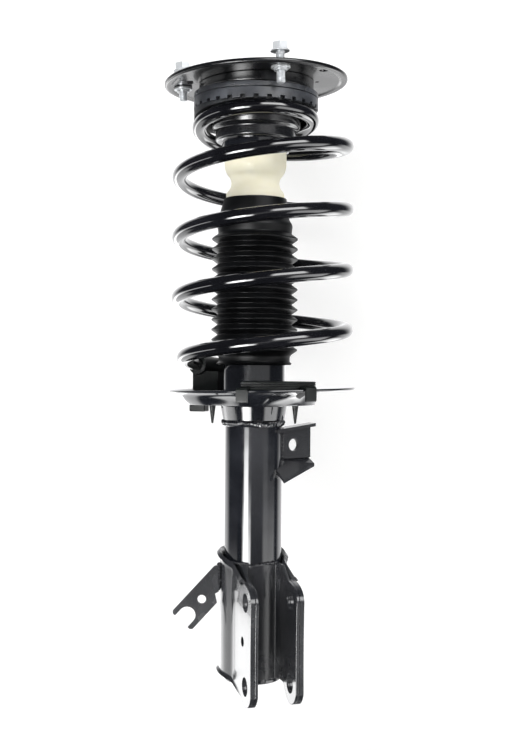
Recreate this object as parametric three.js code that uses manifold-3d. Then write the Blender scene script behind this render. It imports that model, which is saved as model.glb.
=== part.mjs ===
// Complete front suspension strut: a twin-tube damper with its clamp bracket, a coil spring on a
// pressed seat, a bump stop and dust boot on the rod, and a swivelling top mount with a bearing.
// Millimetres, +Z up along the piston rod, origin at the centre of the damper tube's flat base.
// The knuckle ears point forward, to -Y.
import * as THREE from 'three';
import { mergeVertices } from 'three/addons/utils/BufferGeometryUtils.js';
import Module from 'manifold-3d';

const wasm = await Module();
wasm.setup();
const { smoothstep, lerp, clamp, degToRad, euclideanModulo } = THREE.MathUtils;

// ---- Clearance between neighbouring solids ----
const GAP = 0.3;

// ---- Damper ----
const TUBE_RADIUS = 27;
const TUBE_WALL = 2;
const TUBE_LENGTH = 330;
const TUBE_LIP = 5;
const BASE_CAP_HEIGHT = 8;
const BASE_CAP_WALL = 3;
const CYLINDER_RADIUS = 17.5;
const CYLINDER_WALL = 1.5;
const BASE_VALVE_HEIGHT = 14;
const GUIDE_HEIGHT = 18;
const GUIDE_SPIGOT = 6;
const SEAL_HEIGHT = 5;
const BUSH_WALL = 1.5;
const BUSH_HEIGHT = 13;
const STRIKER_WALL = 2;
const STRIKER_SKIRT = 14;
const ROD_RADIUS = 11;
const ROD_THREAD_RADIUS = 7;
const PISTON_HEIGHT = 20;
const PISTON_BAND_HEIGHT = 11;
const PISTON_BAND_WALL = 1.4;
const PISTON_STUD_RADIUS = 6;
const PISTON_NUT_HEIGHT = 9;
const REBOUND_STOP_HEIGHT = 13;
const REBOUND_STOP_RADIUS = 14.5;

// ---- Lower spring seat, welded round the tube ----
const SEAT_DROP = 71.5;
const SEAT_SHEET = 2.5;
const SEAT_FLOOR_RADIUS = 60.5;
const SEAT_FLOOR_OFFSET = -3.5;
const SEAT_STEEP_SHARE = 0.1;
const SEAT_RIM_RADIUS = 87.6;
const SEAT_RIM_RISE = 12.5;
const SEAT_OFFSET = 7.9;
const SEAT_TILT = degToRad(1.25);
const NECK_WALL = 1.9;
const NECK_ABOVE = 38;
const NECK_BELOW = 15;
const NECK_FLARE = 2.6;
const WELD_RADIUS = 2.2;

// ---- Rubber pad on the lower seat ----
const PAD_THICKNESS = 7;
const PAD_INNER_RADIUS = 36;
const PAD_BLOCK_RADIUS = 80;
const PAD_BLOCK_OVERLAP = 6;
const PAD_BLOCK_TOP = 12.7;
const PAD_BLOCK_ANGLES = [-104, -54];
const PAD_CLIP_ANGLES = [-102, -62];
const PAD_SEATING = 1.3;
const PAD_TRAY_ANGLES = [98, 151];
const PAD_TRAY_WALL = 3.5;
const PAD_POST_ANGLES = [133, 148];
const PAD_FOOT_ANGLE = 160;
const PAD_FOOT_REACH = 56;
const PAD_FOOT_LENGTH = 16;
const PAD_FOOT_WIDTH = 12;
const PAD_FOOT_DROP = 8;
const PAD_CLIP_WIDTH = 10;
const PAD_CLIP_SHEET = 3;
const PAD_CLIP_DROP = 11;
const PEG_RADIUS = 3.4;
const PEG_DROP = 17;
const PEG_CIRCLE = 51;
const PEG_ANGLES = [-138, -42];

// ---- Coil spring: a right-handed helix with a small concentric top coil ----
const WIRE_RADIUS = 6.75;
const COIL_PITCH = 56.8;
const COIL_RADIUS = 79;
const COIL_OFFSET = 7.3;
const COIL_TOP_RADIUS = 53;
const COIL_END_RADIUS = 70;
const COIL_SEAT_RISE = 18.6;
const COIL_STEPS_PER_TURN = 16;
const COIL_SIDES = 8;
const COIL_TOP_LEAN = [0.05, -0.1];

// ---- Upper seat and swivel bearing ----
const ISOLATOR_DEPTH = 5.8;
const ISOLATOR_LIP_RADIUS = 58.4;
const BEARING_RADIUS = 58.7;
const RACE_HEIGHT = 9.8;
const RACE_SHEET = 3.5;
const NOTCH_COUNT = 30;
const NOTCH_WIDTH = 4.6;
const NOTCH_DEPTH = 2.8;
const COVER_HEIGHT = 4.6;
const BEARING_GAP = 0.6;
const BALL_CIRCLE = 47;
const BALL_COUNT = 12;
const COVER_SHEET = 1.6;
const COVER_WEB = 12;
const BOWL_RADIUS = 45.5;
const BOWL_FOOT_RADIUS = 41.9;
const BOWL_STEP_RADIUS = 38;
const BOWL_STEP_HEIGHT = 11;
const BOWL_DEPTH = 35.8;
const CUP_DEPTH = 12;
const CUP_WALL = 2.2;

// ---- Bump stop and dust boot ----
const BUMP_HEIGHT = 78;
const BUMP_RADIUS = 29.3;
const BUMP_WAIST_RADIUS = 22.7;
const BUMP_EXPOSED = 56.5;
const BUMP_NOSE_RADIUS = 17;
const BOOT_LENGTH = 154;
const BOOT_PEAK_RADIUS = 41.4;
const BOOT_VALLEY_RADIUS = 34.7;
const BOOT_COLLAR_RADIUS = 29.6;
const BOOT_SHOULDER_RADIUS = 33;
const BOOT_COLLAR_HEIGHT = 33;
const BOOT_CUFF_HEIGHT = 8;
const BOOT_CUFF_RADIUS = 33.6;
const BOOT_WALL = 1.7;
const BOOT_FOLDS = 12;

// ---- Top mount ----
const MOUNT_CUP_RADIUS = 54.4;
const MOUNT_CUP_HEIGHT = 9.65;
const MOUNT_SHEET = 3;
const PLATE_TILT = degToRad(2.1);
const PLATE_SKIRT = 4.5;
const PLATE_BEAD = 3.5;
const DOME_RADIUS = 40;
const DOME_RISE = 10;
const DOME_BORE = 26;
const SLEEVE_RADIUS = 11.5;
const SLEEVE_HEIGHT = 17.4;
const ROD_SHOULDER_DROP = 1.9;
const WASHER_RADIUS = 21;
const WASHER_THICKNESS = 3;
const ROD_NUT_FLATS = 21;
const ROD_NUT_HEIGHT = 8;

// ---- Plate fasteners (M8 hex flange screws with flanged clip nuts) ----
const BOLT_OFFSET = 15.1;
const BOLT_EDGE = 16.8;
const BOLT_ANGLES = [-72, 48, 177];
const BOLT_RADIUS = 4;
const BOLT_LENGTH = 28;
const BOLT_HEAD_FLATS = 13;
const BOLT_HEAD_HEIGHT = 8;
const BOLT_FLANGE_RADIUS = 8.7;
const BOLT_STANDOFFS = [9.5, 9.5, 12];
const NUT_HEIGHT = 4.4;
const NUT_HUB_RADIUS = 6;
const NUT_FLANGE_RADIUS = 8.7;
const NUT_FLANGE = 2.4;

// ---- Openings in the plate: round ones as [distance in from the rim, angle, radius], and a slot ----
const PLATE_HOLES = [[10.7, -35.6, 4.4], [28.9, -2, 2]];
const PLATE_SLOT_EDGE = 24.6;
const PLATE_SLOT_SETBACK = -15;
const PLATE_SLOT_WIDTH = 5.6;
const PLATE_SLOT_LENGTH = 12;

// ---- Knuckle bracket (two pressings round the tube, with paired ears) ----
const EAR_TURN = degToRad(17);
const WRAP_SHEET = 4;
const CHANNEL_SHEET = 3;
const EAR_OPENING = 35;
const EAR_REACH = 59;
const EAR_HOLE_RADIUS = 8.5;
const EAR_LOWER_HOLE = 8.4;
const EAR_HOLE_SPACING = 74.8;
const EAR_LOBE_RADIUS = 18.5;
const EAR_EDGE = 18;
const EAR_WAIST = 2;
const EAR_TOP = 98;
const EAR_SHOULDER = 48;
const EAR_SLOT_RADIUS = 4.5;
const EAR_SLOT_REACH = 51;
const EAR_SLOT_HEIGHT = 47;
const WRAP_BOTTOM = 6;
const WRAP_TOP = 122;
const WRAP_TOP_FALL = 19;
const WRAP_BOTTOM_FALL = 10;
const WRAP_LIP = 4;
const WRAP_FALL_START = 8;
const CHANNEL_BOTTOM = 5;
const CHANNEL_TOP = 111;
const CHANNEL_BEND = 6;
const CHANNEL_CREASE = 4;

// ---- Brake hose bracket ----
const HOSE_SHEET = 2.5;
const HOSE_ARM_WIDTH = 25.4;
const HOSE_ARM_LENGTH = 57;
const HOSE_ARM_DROP = degToRad(47.5);
const HOSE_TAB_HEIGHT = 25;
const HOSE_TOP = 108;
const HOSE_TAB_REACH = 14;
const HOSE_SETBACK = -9;
const HOSE_HEEL = 33.6;
const HOSE_HOLE_RADIUS = 4.1;
const HOSE_HOLE_REACH = 30.7;
const HOSE_NOTCH_RADIUS = 8;
const HOSE_NOTCH_DEPTH = 6;

// ---- Stabiliser link bracket ----
const LINK_TURN = degToRad(38);
const LINK_SHEET = 3;
const LINK_LENGTH = 34;
const LINK_DROP = 24.5;
const LINK_ROOT = 15;
const LINK_WEB = 27;
const LINK_LEAN = degToRad(6);
const LINK_TOP_FLANGE = 10;
const LINK_FOOT = 20;
const LINK_FOOT_TIP = 6;
const LINK_FOOT_SLOPE = 0.9;
const LINK_HOLE_RADIUS = 5.8;
const LINK_HOLE_REACH = 12.8;
const LINK_HOLE_DROP = 14.2;

// ---- Facets round a turned piece, by its size ----
const WIDE_SIDES = 32;
const MIDDLE_SIDES = 24;
const SLIM_SIDES = 20;
const FOLD_SIDES = 16;
const SMALL_SIDES = 12;

// ---- Finishes ----
const blackPaint = new THREE.MeshStandardMaterial({ color: 0x0d0e12, roughness: 0.2, metalness: 0.3 });
const springPowder = new THREE.MeshStandardMaterial({ color: 0x0b0b0f, roughness: 0.18, metalness: 0.2 });
const blackRubber = new THREE.MeshStandardMaterial({ color: 0x17171a, roughness: 0.75, metalness: 0 });
const greyPlastic = new THREE.MeshStandardMaterial({ color: 0x2a2a2d, roughness: 0.55, metalness: 0 });
const creamFoam = new THREE.MeshStandardMaterial({ color: 0xf1ecd2, roughness: 0.7, metalness: 0 });
const zincSteel = new THREE.MeshStandardMaterial({ color: 0xb9bcc0, roughness: 0.35, metalness: 0.9 });
const bareSteel = new THREE.MeshStandardMaterial({ color: 0x8d9094, roughness: 0.35, metalness: 0.9 });
const chromeSteel = new THREE.MeshStandardMaterial({ color: 0xd6d8da, roughness: 0.08, metalness: 1 });
const ptfeBronze = new THREE.MeshStandardMaterial({ color: 0x8a6a45, roughness: 0.5, metalness: 0.6 });

const strut = new THREE.Group();

// ---- Making closed solids ----

// A closed loop of [radius, height] points, turned about Z.
function revolved(profile, sides) {
  const outline = profile.map(([radius, height]) => new THREE.Vector2(radius, height));
  return new THREE.LatheGeometry(outline, sides).rotateX(Math.PI / 2);
}

function ring(profile, sides) {
  return revolved([...profile, profile[0]], sides);
}

function hoop(innerRadius, outerRadius, bottom, top, sides) {
  const corners = [[innerRadius, bottom], [outerRadius, bottom], [outerRadius, top], [innerRadius, top]];
  return ring(corners, sides);
}

// A pressing: a line of [radius, height] points with sheet metal laid on its left-hand side.
function pressed(line, sheet) {
  const inner = line.map((point, i) => {
    const before = line[Math.max(i - 1, 0)];
    const after = line[Math.min(i + 1, line.length - 1)];
    const into = new THREE.Vector2(point[0] - before[0], point[1] - before[1]).normalize();
    const out = new THREE.Vector2(after[0] - point[0], after[1] - point[1]).normalize();
    if (into.length() === 0) into.copy(out);
    if (out.length() === 0) out.copy(into);
    const reach = sheet / (1 + into.dot(out));
    return [point[0] - (into.y + out.y) * reach, point[1] + (into.x + out.x) * reach];
  });
  return [...line, ...inner.reverse()];
}

function slab(shape, thickness, curveSegments = 8) {
  return new THREE.ExtrudeGeometry(shape, { depth: thickness, bevelEnabled: false, curveSegments });
}

function disc(radius) {
  return new THREE.Shape().absarc(0, 0, radius, 0, 2 * Math.PI);
}

function polygon(points) {
  return new THREE.Shape(points.map(([x, y]) => new THREE.Vector2(x, y)));
}

// Each vertex is moved by a function of its own place.
function reshaped(geometry, move) {
  const position = geometry.getAttribute('position');
  const point = new THREE.Vector3();
  for (let i = 0; i < position.count; i += 1) {
    point.fromBufferAttribute(position, i);
    move(point);
    position.setXYZ(i, point.x, point.y, point.z);
  }
  return geometry;
}

// A block bent round an upright line at x = centre, between two radii and two angles in degrees. Its
// floor and ceiling are functions of the place in plan.
function sector(centre, radii, angles, floor, ceiling, steps, rows) {
  const block = new THREE.BoxGeometry(1, 1, 1, rows, steps, 1);
  return reshaped(block, (p) => {
    const radius = lerp(radii[0], radii[1], p.x + 0.5);
    const angle = degToRad(lerp(angles[0], angles[1], p.y + 0.5));
    const x = centre + radius * Math.cos(angle);
    const y = radius * Math.sin(angle);
    p.set(x, y, p.z < 0 ? floor(x, y) : ceiling(x, y));
  });
}

// A geometry with shared corners becomes a solid that can be joined and cut.
function solid(geometry) {
  geometry.deleteAttribute('normal');
  geometry.deleteAttribute('uv');
  const merged = mergeVertices(geometry, 1e-4);
  const corners = merged.getIndex().array;
  const triangles = [];
  for (let i = 0; i < corners.length; i += 3) {
    const [a, b, c] = corners.subarray(i, i + 3);
    if (a !== b && b !== c && c !== a) triangles.push(a, b, c);
  }
  const vertProperties = Float32Array.from(merged.getAttribute('position').array);
  const triVerts = Uint32Array.from(triangles);
  return new wasm.Manifold(new wasm.Mesh({ numProp: 3, vertProperties, triVerts }));
}

function faceted(body) {
  const mesh = body.getMesh();
  const geometry = new THREE.BufferGeometry();
  geometry.setAttribute('position', new THREE.BufferAttribute(Float32Array.from(mesh.vertProperties), 3));
  geometry.setIndex(new THREE.BufferAttribute(Uint32Array.from(mesh.triVerts), 1));
  return geometry;
}

function joined(...geometries) {
  return geometries.map(solid).reduce((whole, next) => whole.add(next));
}

function pierced(body, openings) {
  return faceted(openings.reduce((whole, opening) => whole.subtract(solid(opening)), body));
}

function upright(radius, bottom, top, x, y, sides) {
  const pin = new THREE.CylinderGeometry(radius, radius, top - bottom, sides);
  return pin.rotateX(Math.PI / 2).translate(x, y, (bottom + top) / 2);
}

function hexagon(flats) {
  const corner = flats / Math.sqrt(3);
  const corners = [0, 1, 2, 3, 4, 5].map((i) => (i * Math.PI) / 3);
  return polygon(corners.map((angle) => [corner * Math.cos(angle), corner * Math.sin(angle)]));
}

function piece(name, geometry, material, parent = strut) {
  const mesh = new THREE.Mesh(geometry, material);
  mesh.name = name;
  parent.add(mesh);
}

// ---- Heights up the damper ----
const tubeBore = TUBE_RADIUS - TUBE_WALL;
const cylinderBore = CYLINDER_RADIUS - CYLINDER_WALL;
const insertRadius = tubeBore - GAP;
const spigotRadius = cylinderBore - GAP;
const valveBottom = BASE_CAP_WALL + GAP;
const valveFlangeTop = valveBottom + BASE_VALVE_HEIGHT / 3;
const sealTop = TUBE_LENGTH - TUBE_WALL - GAP;
const guideTop = sealTop - SEAL_HEIGHT - GAP;
const guideBottom = guideTop - GUIDE_HEIGHT;
const reboundTop = guideBottom - GUIDE_SPIGOT - GAP;
const reboundBottom = reboundTop - REBOUND_STOP_HEIGHT;
const pistonTop = reboundBottom - GAP;
const pistonBottom = pistonTop - PISTON_HEIGHT;
const bushRadius = ROD_RADIUS + GAP + BUSH_WALL;

// ---- Spring, turn by turn from its upper end: quarter turns lie at the right, front, left, back ----
const topTurn = -0.3;
const topRampStart = 0.25;
const topRampEnd = 0.92;
const leanEnd = 1.5;
const flareStart = 0.45;
const flareEnd = 1.05;
const bodyEnd = 4.5;
const closingStart = 4.1;
const lastTurn = 4.79;
const closingEnd = 5.25;
const rampTurns = (topRampEnd - topRampStart + closingEnd - bodyEnd) / 2;
const springRise = COIL_PITCH * (bodyEnd - topRampEnd + rampTurns);

// Turns of full pitch run through by a ramp that starts slow and eases to full pitch.
function easedTurns(turn, from, to) {
  const span = to - from;
  const u = clamp((turn - from) / span, 0, 1);
  return span * (u ** 3 - u ** 4 / 2) + Math.max(turn - to, 0);
}

function coilDrop(turn) {
  return COIL_PITCH * (easedTurns(turn, topRampStart, topRampEnd) - easedTurns(turn, bodyEnd, closingEnd));
}

// The dead coil at the top lies in a plane that leans: its share fades out down the first full turn.
function coilLean(x, y, turn) {
  const share = 1 - smoothstep(turn, flareStart, leanEnd);
  return share * (COIL_TOP_LEAN[0] * x + COIL_TOP_LEAN[1] * y);
}

function coilRadius(turn) {
  const body = lerp(COIL_TOP_RADIUS, COIL_RADIUS, smoothstep(turn, flareStart, flareEnd));
  return lerp(body, COIL_END_RADIUS, smoothstep(turn, closingStart, lastTurn));
}

// ---- Heights of the seat and of everything the spring carries ----
const seatHeight = TUBE_LENGTH - SEAT_DROP;
const seatTop = seatHeight + SEAT_SHEET;
const padTop = seatTop + GAP + PAD_THICKNESS;
const coilTop = seatTop + COIL_SEAT_RISE + springRise;
const raceBottom = coilTop + WIRE_RADIUS + ISOLATOR_DEPTH;
const raceTop = raceBottom + RACE_HEIGHT;
const coverBottom = raceTop + BEARING_GAP;
const coverTop = coverBottom + COVER_HEIGHT;
const cupBottom = coverTop + GAP;
const plateUnder = cupBottom + MOUNT_CUP_HEIGHT + GAP;
const plateTop = plateUnder + MOUNT_SHEET;
const plateRadius = MOUNT_CUP_RADIUS + BOLT_OFFSET + BOLT_EDGE;

// ---- Damper tube and what it holds ----
function reservoirTube() {
  const rim = TUBE_LENGTH;
  const lipBore = tubeBore - TUBE_LIP;
  return ring([
    [tubeBore, 0], [TUBE_RADIUS, 0], [TUBE_RADIUS, rim - TUBE_WALL], [tubeBore, rim],
    [lipBore, rim], [lipBore, rim - TUBE_WALL], [tubeBore, rim - TUBE_WALL],
  ], WIDE_SIDES);
}

function baseCap() {
  const inside = insertRadius - BASE_CAP_WALL;
  return revolved([
    [0, 0], [insertRadius, 0], [insertRadius, BASE_CAP_HEIGHT], [inside, BASE_CAP_HEIGHT],
    [inside, BASE_CAP_WALL], [0, BASE_CAP_WALL],
  ], SLIM_SIDES);
}

function baseValve() {
  const top = valveBottom + BASE_VALVE_HEIGHT;
  const dish = ROD_THREAD_RADIUS;
  return revolved([
    [0, valveBottom], [CYLINDER_RADIUS, valveBottom], [CYLINDER_RADIUS, valveFlangeTop],
    [spigotRadius, valveFlangeTop], [spigotRadius, top], [dish, top],
    [dish, top - BASE_CAP_WALL], [0, top - BASE_CAP_WALL],
  ], SMALL_SIDES);
}

function rodGuide() {
  const rodBore = ROD_RADIUS + 2 * GAP;
  const bushBore = bushRadius + GAP;
  const shelf = guideTop - BUSH_HEIGHT - GAP;
  const spigotBottom = guideBottom - GUIDE_SPIGOT;
  return ring([
    [rodBore, spigotBottom], [spigotRadius, spigotBottom], [spigotRadius, guideBottom],
    [insertRadius, guideBottom], [insertRadius, guideTop], [bushBore, guideTop],
    [bushBore, shelf], [rodBore, shelf],
  ], SLIM_SIDES);
}

function strikerCap() {
  const bore = TUBE_RADIUS + GAP;
  const top = TUBE_LENGTH + GAP;
  const outer = bore + STRIKER_WALL;
  const line = [
    [outer, TUBE_LENGTH - STRIKER_SKIRT], [outer, top + STRIKER_WALL], [ROD_RADIUS + 2, top + STRIKER_WALL],
  ];
  return revolved([...pressed(line, STRIKER_WALL), line[0]], MIDDLE_SIDES);
}

function pressureTube() {
  return hoop(cylinderBore, CYLINDER_RADIUS, valveFlangeTop + GAP, guideBottom - GAP, SLIM_SIDES);
}

function guideBush() {
  return hoop(ROD_RADIUS + GAP, bushRadius, guideTop - BUSH_HEIGHT, guideTop, SLIM_SIDES);
}

function rodSeal() {
  return hoop(ROD_RADIUS + GAP, insertRadius, guideTop + GAP, sealTop, SLIM_SIDES);
}

piece('reservoir_tube', reservoirTube(), blackPaint);
piece('base_cap', baseCap(), blackPaint);
piece('base_valve', baseValve(), bareSteel);
piece('pressure_tube', pressureTube(), bareSteel);
piece('rod_guide', rodGuide(), bareSteel);
piece('guide_bush', guideBush(), ptfeBronze);
piece('rod_seal', rodSeal(), blackRubber);
piece('striker_cap', strikerCap(), bareSteel);

// ---- Piston rod and piston ----
const rodShoulder = coverTop - ROD_SHOULDER_DROP;
const lowerWasherTop = rodShoulder + GAP + WASHER_THICKNESS;
const sleeveBottom = lowerWasherTop + GAP;
const sleeveTop = sleeveBottom + SLEEVE_HEIGHT;
const nutBottom = sleeveTop + GAP + WASHER_THICKNESS + GAP;
const studTop = pistonBottom - GAP - PISTON_NUT_HEIGHT;

function pistonRod() {
  const tip = nutBottom + ROD_NUT_HEIGHT + ROD_THREAD_RADIUS / 3;
  const stud = studTop - 2;
  return revolved([
    [0, stud], [PISTON_STUD_RADIUS, stud], [PISTON_STUD_RADIUS, reboundBottom], [ROD_RADIUS, reboundBottom],
    [ROD_RADIUS, rodShoulder], [ROD_THREAD_RADIUS, rodShoulder], [ROD_THREAD_RADIUS, tip - 1],
    [ROD_THREAD_RADIUS - 1, tip], [0, tip],
  ], SLIM_SIDES);
}

function piston() {
  const skirt = cylinderBore - GAP - PISTON_BAND_WALL / 3;
  const groove = cylinderBore - 2 * GAP - PISTON_BAND_WALL;
  const bore = PISTON_STUD_RADIUS + GAP;
  const middle = (pistonTop + pistonBottom) / 2;
  const grooveHalf = PISTON_BAND_HEIGHT / 2 + GAP;
  return ring([
    [bore, pistonBottom], [skirt, pistonBottom], [skirt, middle - grooveHalf], [groove, middle - grooveHalf],
    [groove, middle + grooveHalf], [skirt, middle + grooveHalf], [skirt, pistonTop], [bore, pistonTop],
  ], SMALL_SIDES);
}

function pistonBand() {
  const middle = (pistonTop + pistonBottom) / 2;
  const outer = cylinderBore - GAP;
  const half = PISTON_BAND_HEIGHT / 2;
  return hoop(outer - PISTON_BAND_WALL, outer, middle - half, middle + half, SMALL_SIDES);
}

function hexNut(flats, boreRadius, bottom, height) {
  const outline = hexagon(flats);
  outline.holes.push(new THREE.Path().absarc(0, 0, boreRadius, 0, 2 * Math.PI, true));
  return slab(outline, height).translate(0, 0, bottom);
}

function washer(bottom) {
  return hoop(ROD_THREAD_RADIUS + GAP, WASHER_RADIUS, bottom, bottom + WASHER_THICKNESS, SLIM_SIDES);
}

function reboundStop() {
  return hoop(ROD_RADIUS + GAP, REBOUND_STOP_RADIUS, reboundBottom, reboundTop, SLIM_SIDES);
}

function pistonNut() {
  return hexNut(1.36 * cylinderBore, PISTON_STUD_RADIUS + GAP, studTop, PISTON_NUT_HEIGHT);
}

piece('piston_rod', pistonRod(), chromeSteel);
piece('piston', piston(), bareSteel);
piece('piston_band', pistonBand(), ptfeBronze);
piece('piston_nut', pistonNut(), bareSteel);
piece('rebound_stop', reboundStop(), blackRubber);
piece('rod_nut', hexNut(ROD_NUT_FLATS, ROD_THREAD_RADIUS + GAP, nutBottom, ROD_NUT_HEIGHT), zincSteel);
piece('lower_washer', washer(rodShoulder + GAP), bareSteel);
piece('upper_washer', washer(sleeveTop + GAP), zincSteel);

// ---- Lower spring seat: a dish whose rim leans and stands off to one side. Its wall is a long slope
// on the left and a steep step with a flat flange on the right ----
const padRadius = SEAT_FLOOR_RADIUS + SEAT_FLOOR_OFFSET - 1;
const rimShare = (x, y) => smoothstep(Math.hypot(x, y), SEAT_FLOOR_RADIUS, SEAT_RIM_RADIUS);
const steepness = (x, y) => smoothstep(x / Math.hypot(x, y), 0.2, 0.9);

function dishRise(x, y, setback) {
  const radius = Math.hypot(x, y) - setback * steepness(x, y);
  const width = (SEAT_RIM_RADIUS - SEAT_FLOOR_RADIUS) * lerp(1, SEAT_STEEP_SHARE, steepness(x, y));
  return SEAT_RIM_RISE * Math.sin((clamp((radius - SEAT_FLOOR_RADIUS) / width, 0, 1) * Math.PI) / 2);
}

function dishShift(x, y) {
  const floorShare = smoothstep(Math.hypot(x, y), PAD_INNER_RADIUS, SEAT_FLOOR_RADIUS);
  return lerp(SEAT_FLOOR_OFFSET * floorShare, SEAT_OFFSET, rimShare(x, y));
}

function lowerSeat() {
  const bore = TUBE_RADIUS + GAP;
  const neck = bore + NECK_WALL;
  const bottom = seatHeight - NECK_BELOW;
  const top = seatHeight + NECK_ABOVE;
  const flare = neck + NECK_FLARE;
  const stations = [0, SEAT_STEEP_SHARE, 0.25, 0.45, 0.7, 1];
  const radii = stations.map((share) => lerp(SEAT_FLOOR_RADIUS, SEAT_RIM_RADIUS, share));
  const under = radii.map((radius) => [radius, seatHeight]);
  const over = radii.map((radius) => [radius, seatTop]).reverse();
  const dish = reshaped(ring([
    [bore, bottom], [neck, bottom], [flare, seatHeight - NECK_FLARE], [flare + NECK_FLARE, seatHeight],
    ...under, ...over, [neck + NECK_FLARE, seatTop], [neck, seatTop + NECK_FLARE],
    [neck, top - NECK_WALL / 2], [neck - NECK_WALL / 2, top], [bore, top],
  ], WIDE_SIDES), (point) => {
    const setback = point.z < seatHeight + SEAT_SHEET / 2 ? SEAT_SHEET / 2 : 0;
    const rise = dishRise(point.x, point.y, setback);
    point.z += rise + Math.tan(SEAT_TILT) * point.x * rimShare(point.x, point.y);
    point.x += dishShift(point.x, point.y);
  });
  const pegHoles = pegPlaces().map(([x, y]) => (
    upright(PEG_RADIUS + GAP, seatHeight - 1, seatTop + 1, x, y, SMALL_SIDES)
  ));
  return pierced(solid(dish), [...pegHoles, padFoot(GAP)]);
}

function seatWeld() {
  const root = TUBE_RADIUS + GAP;
  const top = seatHeight - NECK_BELOW - GAP;
  return ring([
    [root, top - 2 * WELD_RADIUS], [root + WELD_RADIUS, top - 1.4 * WELD_RADIUS],
    [root + 1.4 * WELD_RADIUS, top - 0.5 * WELD_RADIUS], [root + WELD_RADIUS, top], [root, top],
  ], MIDDLE_SIDES);
}

// ---- Rubber pad between the spring and its seat ----
function pegPlaces() {
  return PEG_ANGLES.map((angle) => {
    const turn = degToRad(angle);
    return [PEG_CIRCLE * Math.cos(turn), PEG_CIRCLE * Math.sin(turn)];
  });
}

// A square foot of the pad stands through an opening in the floor of the dish.
function padFoot(margin) {
  const bottom = seatHeight - PAD_FOOT_DROP;
  const height = seatTop + PAD_THICKNESS / 2 - bottom;
  const foot = new THREE.BoxGeometry(PAD_FOOT_LENGTH + 2 * margin, PAD_FOOT_WIDTH + 2 * margin, height);
  return foot.translate(PAD_FOOT_REACH, 0, bottom + height / 2).rotateZ(degToRad(PAD_FOOT_ANGLE));
}

function seatSurface(x, y) {
  let unleant = x;
  for (let pass = 0; pass < 20; pass += 1) unleant = x - dishShift(unleant, y);
  const share = rimShare(unleant, y);
  return seatTop + dishRise(unleant, y, 0) + Math.tan(SEAT_TILT) * unleant * share;
}

function lowerPad() {
  const restOn = (x, y) => seatSurface(x, y) + PAD_SEATING;
  const floor = seatTop + GAP;
  const base = hoop(PAD_INNER_RADIUS, padRadius, floor, padTop, MIDDLE_SIDES);
  const blockTop = () => padTop + PAD_BLOCK_TOP;
  const inner = padRadius - PAD_BLOCK_OVERLAP;
  const blockRadii = [inner, PAD_BLOCK_RADIUS];
  const block = sector(SEAT_OFFSET, blockRadii, PAD_BLOCK_ANGLES, restOn, blockTop, 12, 4);
  const turnAt = (x, y) => (
    Math.floor(lastTurn) + euclideanModulo(-Math.atan2(y, x - COIL_OFFSET) / (2 * Math.PI), 1)
  );
  const wire = (x, y) => coilTop - coilDrop(turnAt(x, y));
  const hug = WIRE_RADIUS + GAP;
  const underWire = (x, y) => wire(x, y) - hug;
  const underTray = (x, y) => underWire(x, y) - PAD_TRAY_WALL;
  const overWire = (x, y) => wire(x, y) + hug / 2;
  const tray = (from, to, ceiling) => {
    const radii = [COIL_END_RADIUS + from, COIL_END_RADIUS + to];
    const band = sector(COIL_OFFSET, radii, PAD_TRAY_ANGLES, underTray, ceiling, 8, 1);
    return reshaped(band, (p) => {
      const reach = Math.hypot(p.x - COIL_OFFSET, p.y);
      const follow = 1 + (coilRadius(turnAt(p.x, p.y)) - COIL_END_RADIUS) / reach;
      p.x = COIL_OFFSET + (p.x - COIL_OFFSET) * follow;
      p.y *= follow;
    });
  };
  const brim = hug + PAD_TRAY_WALL;
  const sagitta = COIL_END_RADIUS * (1 - Math.cos(Math.PI / COIL_STEPS_PER_TURN));
  const inside = -hug - sagitta;
  const trays = [
    tray(inside - PAD_TRAY_WALL, brim, underWire), tray(inside - PAD_TRAY_WALL, inside, overWire),
    tray(hug, brim, overWire),
  ];
  const postRadii = [inner, COIL_END_RADIUS + brim - 1];
  const underFloor = (x, y) => underWire(x, y) - PAD_TRAY_WALL / 2;
  const post = sector(COIL_OFFSET, postRadii, PAD_POST_ANGLES, restOn, underFloor, 3, 4);
  const pegs = pegPlaces().map(([x, y]) => {
    const peg = new THREE.CylinderGeometry(PEG_RADIUS, 0.8, PEG_DROP + SEAT_SHEET + 1, 10);
    return peg.rotateX(Math.PI / 2).translate(x, y, floor + 0.5 - (PEG_DROP + SEAT_SHEET) / 2);
  });
  return faceted(joined(base, block, post, ...trays, padFoot(0), ...rimClips(), ...pegs));
}

// Two tongues of the front block reach over the rim of the dish and down outside it.
function rimClips() {
  const rim = SEAT_RIM_RADIUS + GAP;
  const root = PAD_BLOCK_RADIUS - 4;
  const brow = 1 + PAD_CLIP_SHEET;
  const tip = rim + PAD_CLIP_SHEET;
  const outline = polygon([
    [root, 1], [rim, 1], [rim, -PAD_CLIP_DROP], [tip, -PAD_CLIP_DROP], [tip, brow], [root, brow],
  ]);
  return PAD_CLIP_ANGLES.map((angle) => {
    const clip = slab(outline, PAD_CLIP_WIDTH).translate(0, 0, -PAD_CLIP_WIDTH / 2).rotateX(Math.PI / 2);
    clip.rotateZ(degToRad(angle));
    return reshaped(clip, (p) => {
      p.z += seatTop + SEAT_RIM_RISE + Math.tan(SEAT_TILT) * p.x;
      p.x += SEAT_OFFSET;
    });
  });
}

piece('lower_spring_seat', lowerSeat(), blackPaint);
piece('seat_weld', seatWeld(), blackPaint);
piece('lower_isolator', lowerPad(), blackRubber);

// ---- Coil spring ----
class CoilLine extends THREE.Curve {
  getPoint(share, target = new THREE.Vector3()) {
    const turn = lerp(lastTurn, topTurn, share);
    const offset = COIL_OFFSET * smoothstep(turn, flareStart, flareEnd);
    const angle = -2 * Math.PI * turn;
    const x = offset + coilRadius(turn) * Math.cos(angle);
    const y = coilRadius(turn) * Math.sin(angle);
    return target.set(x, y, coilTop - coilDrop(turn) + coilLean(x, y, turn));
  }
}

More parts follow.
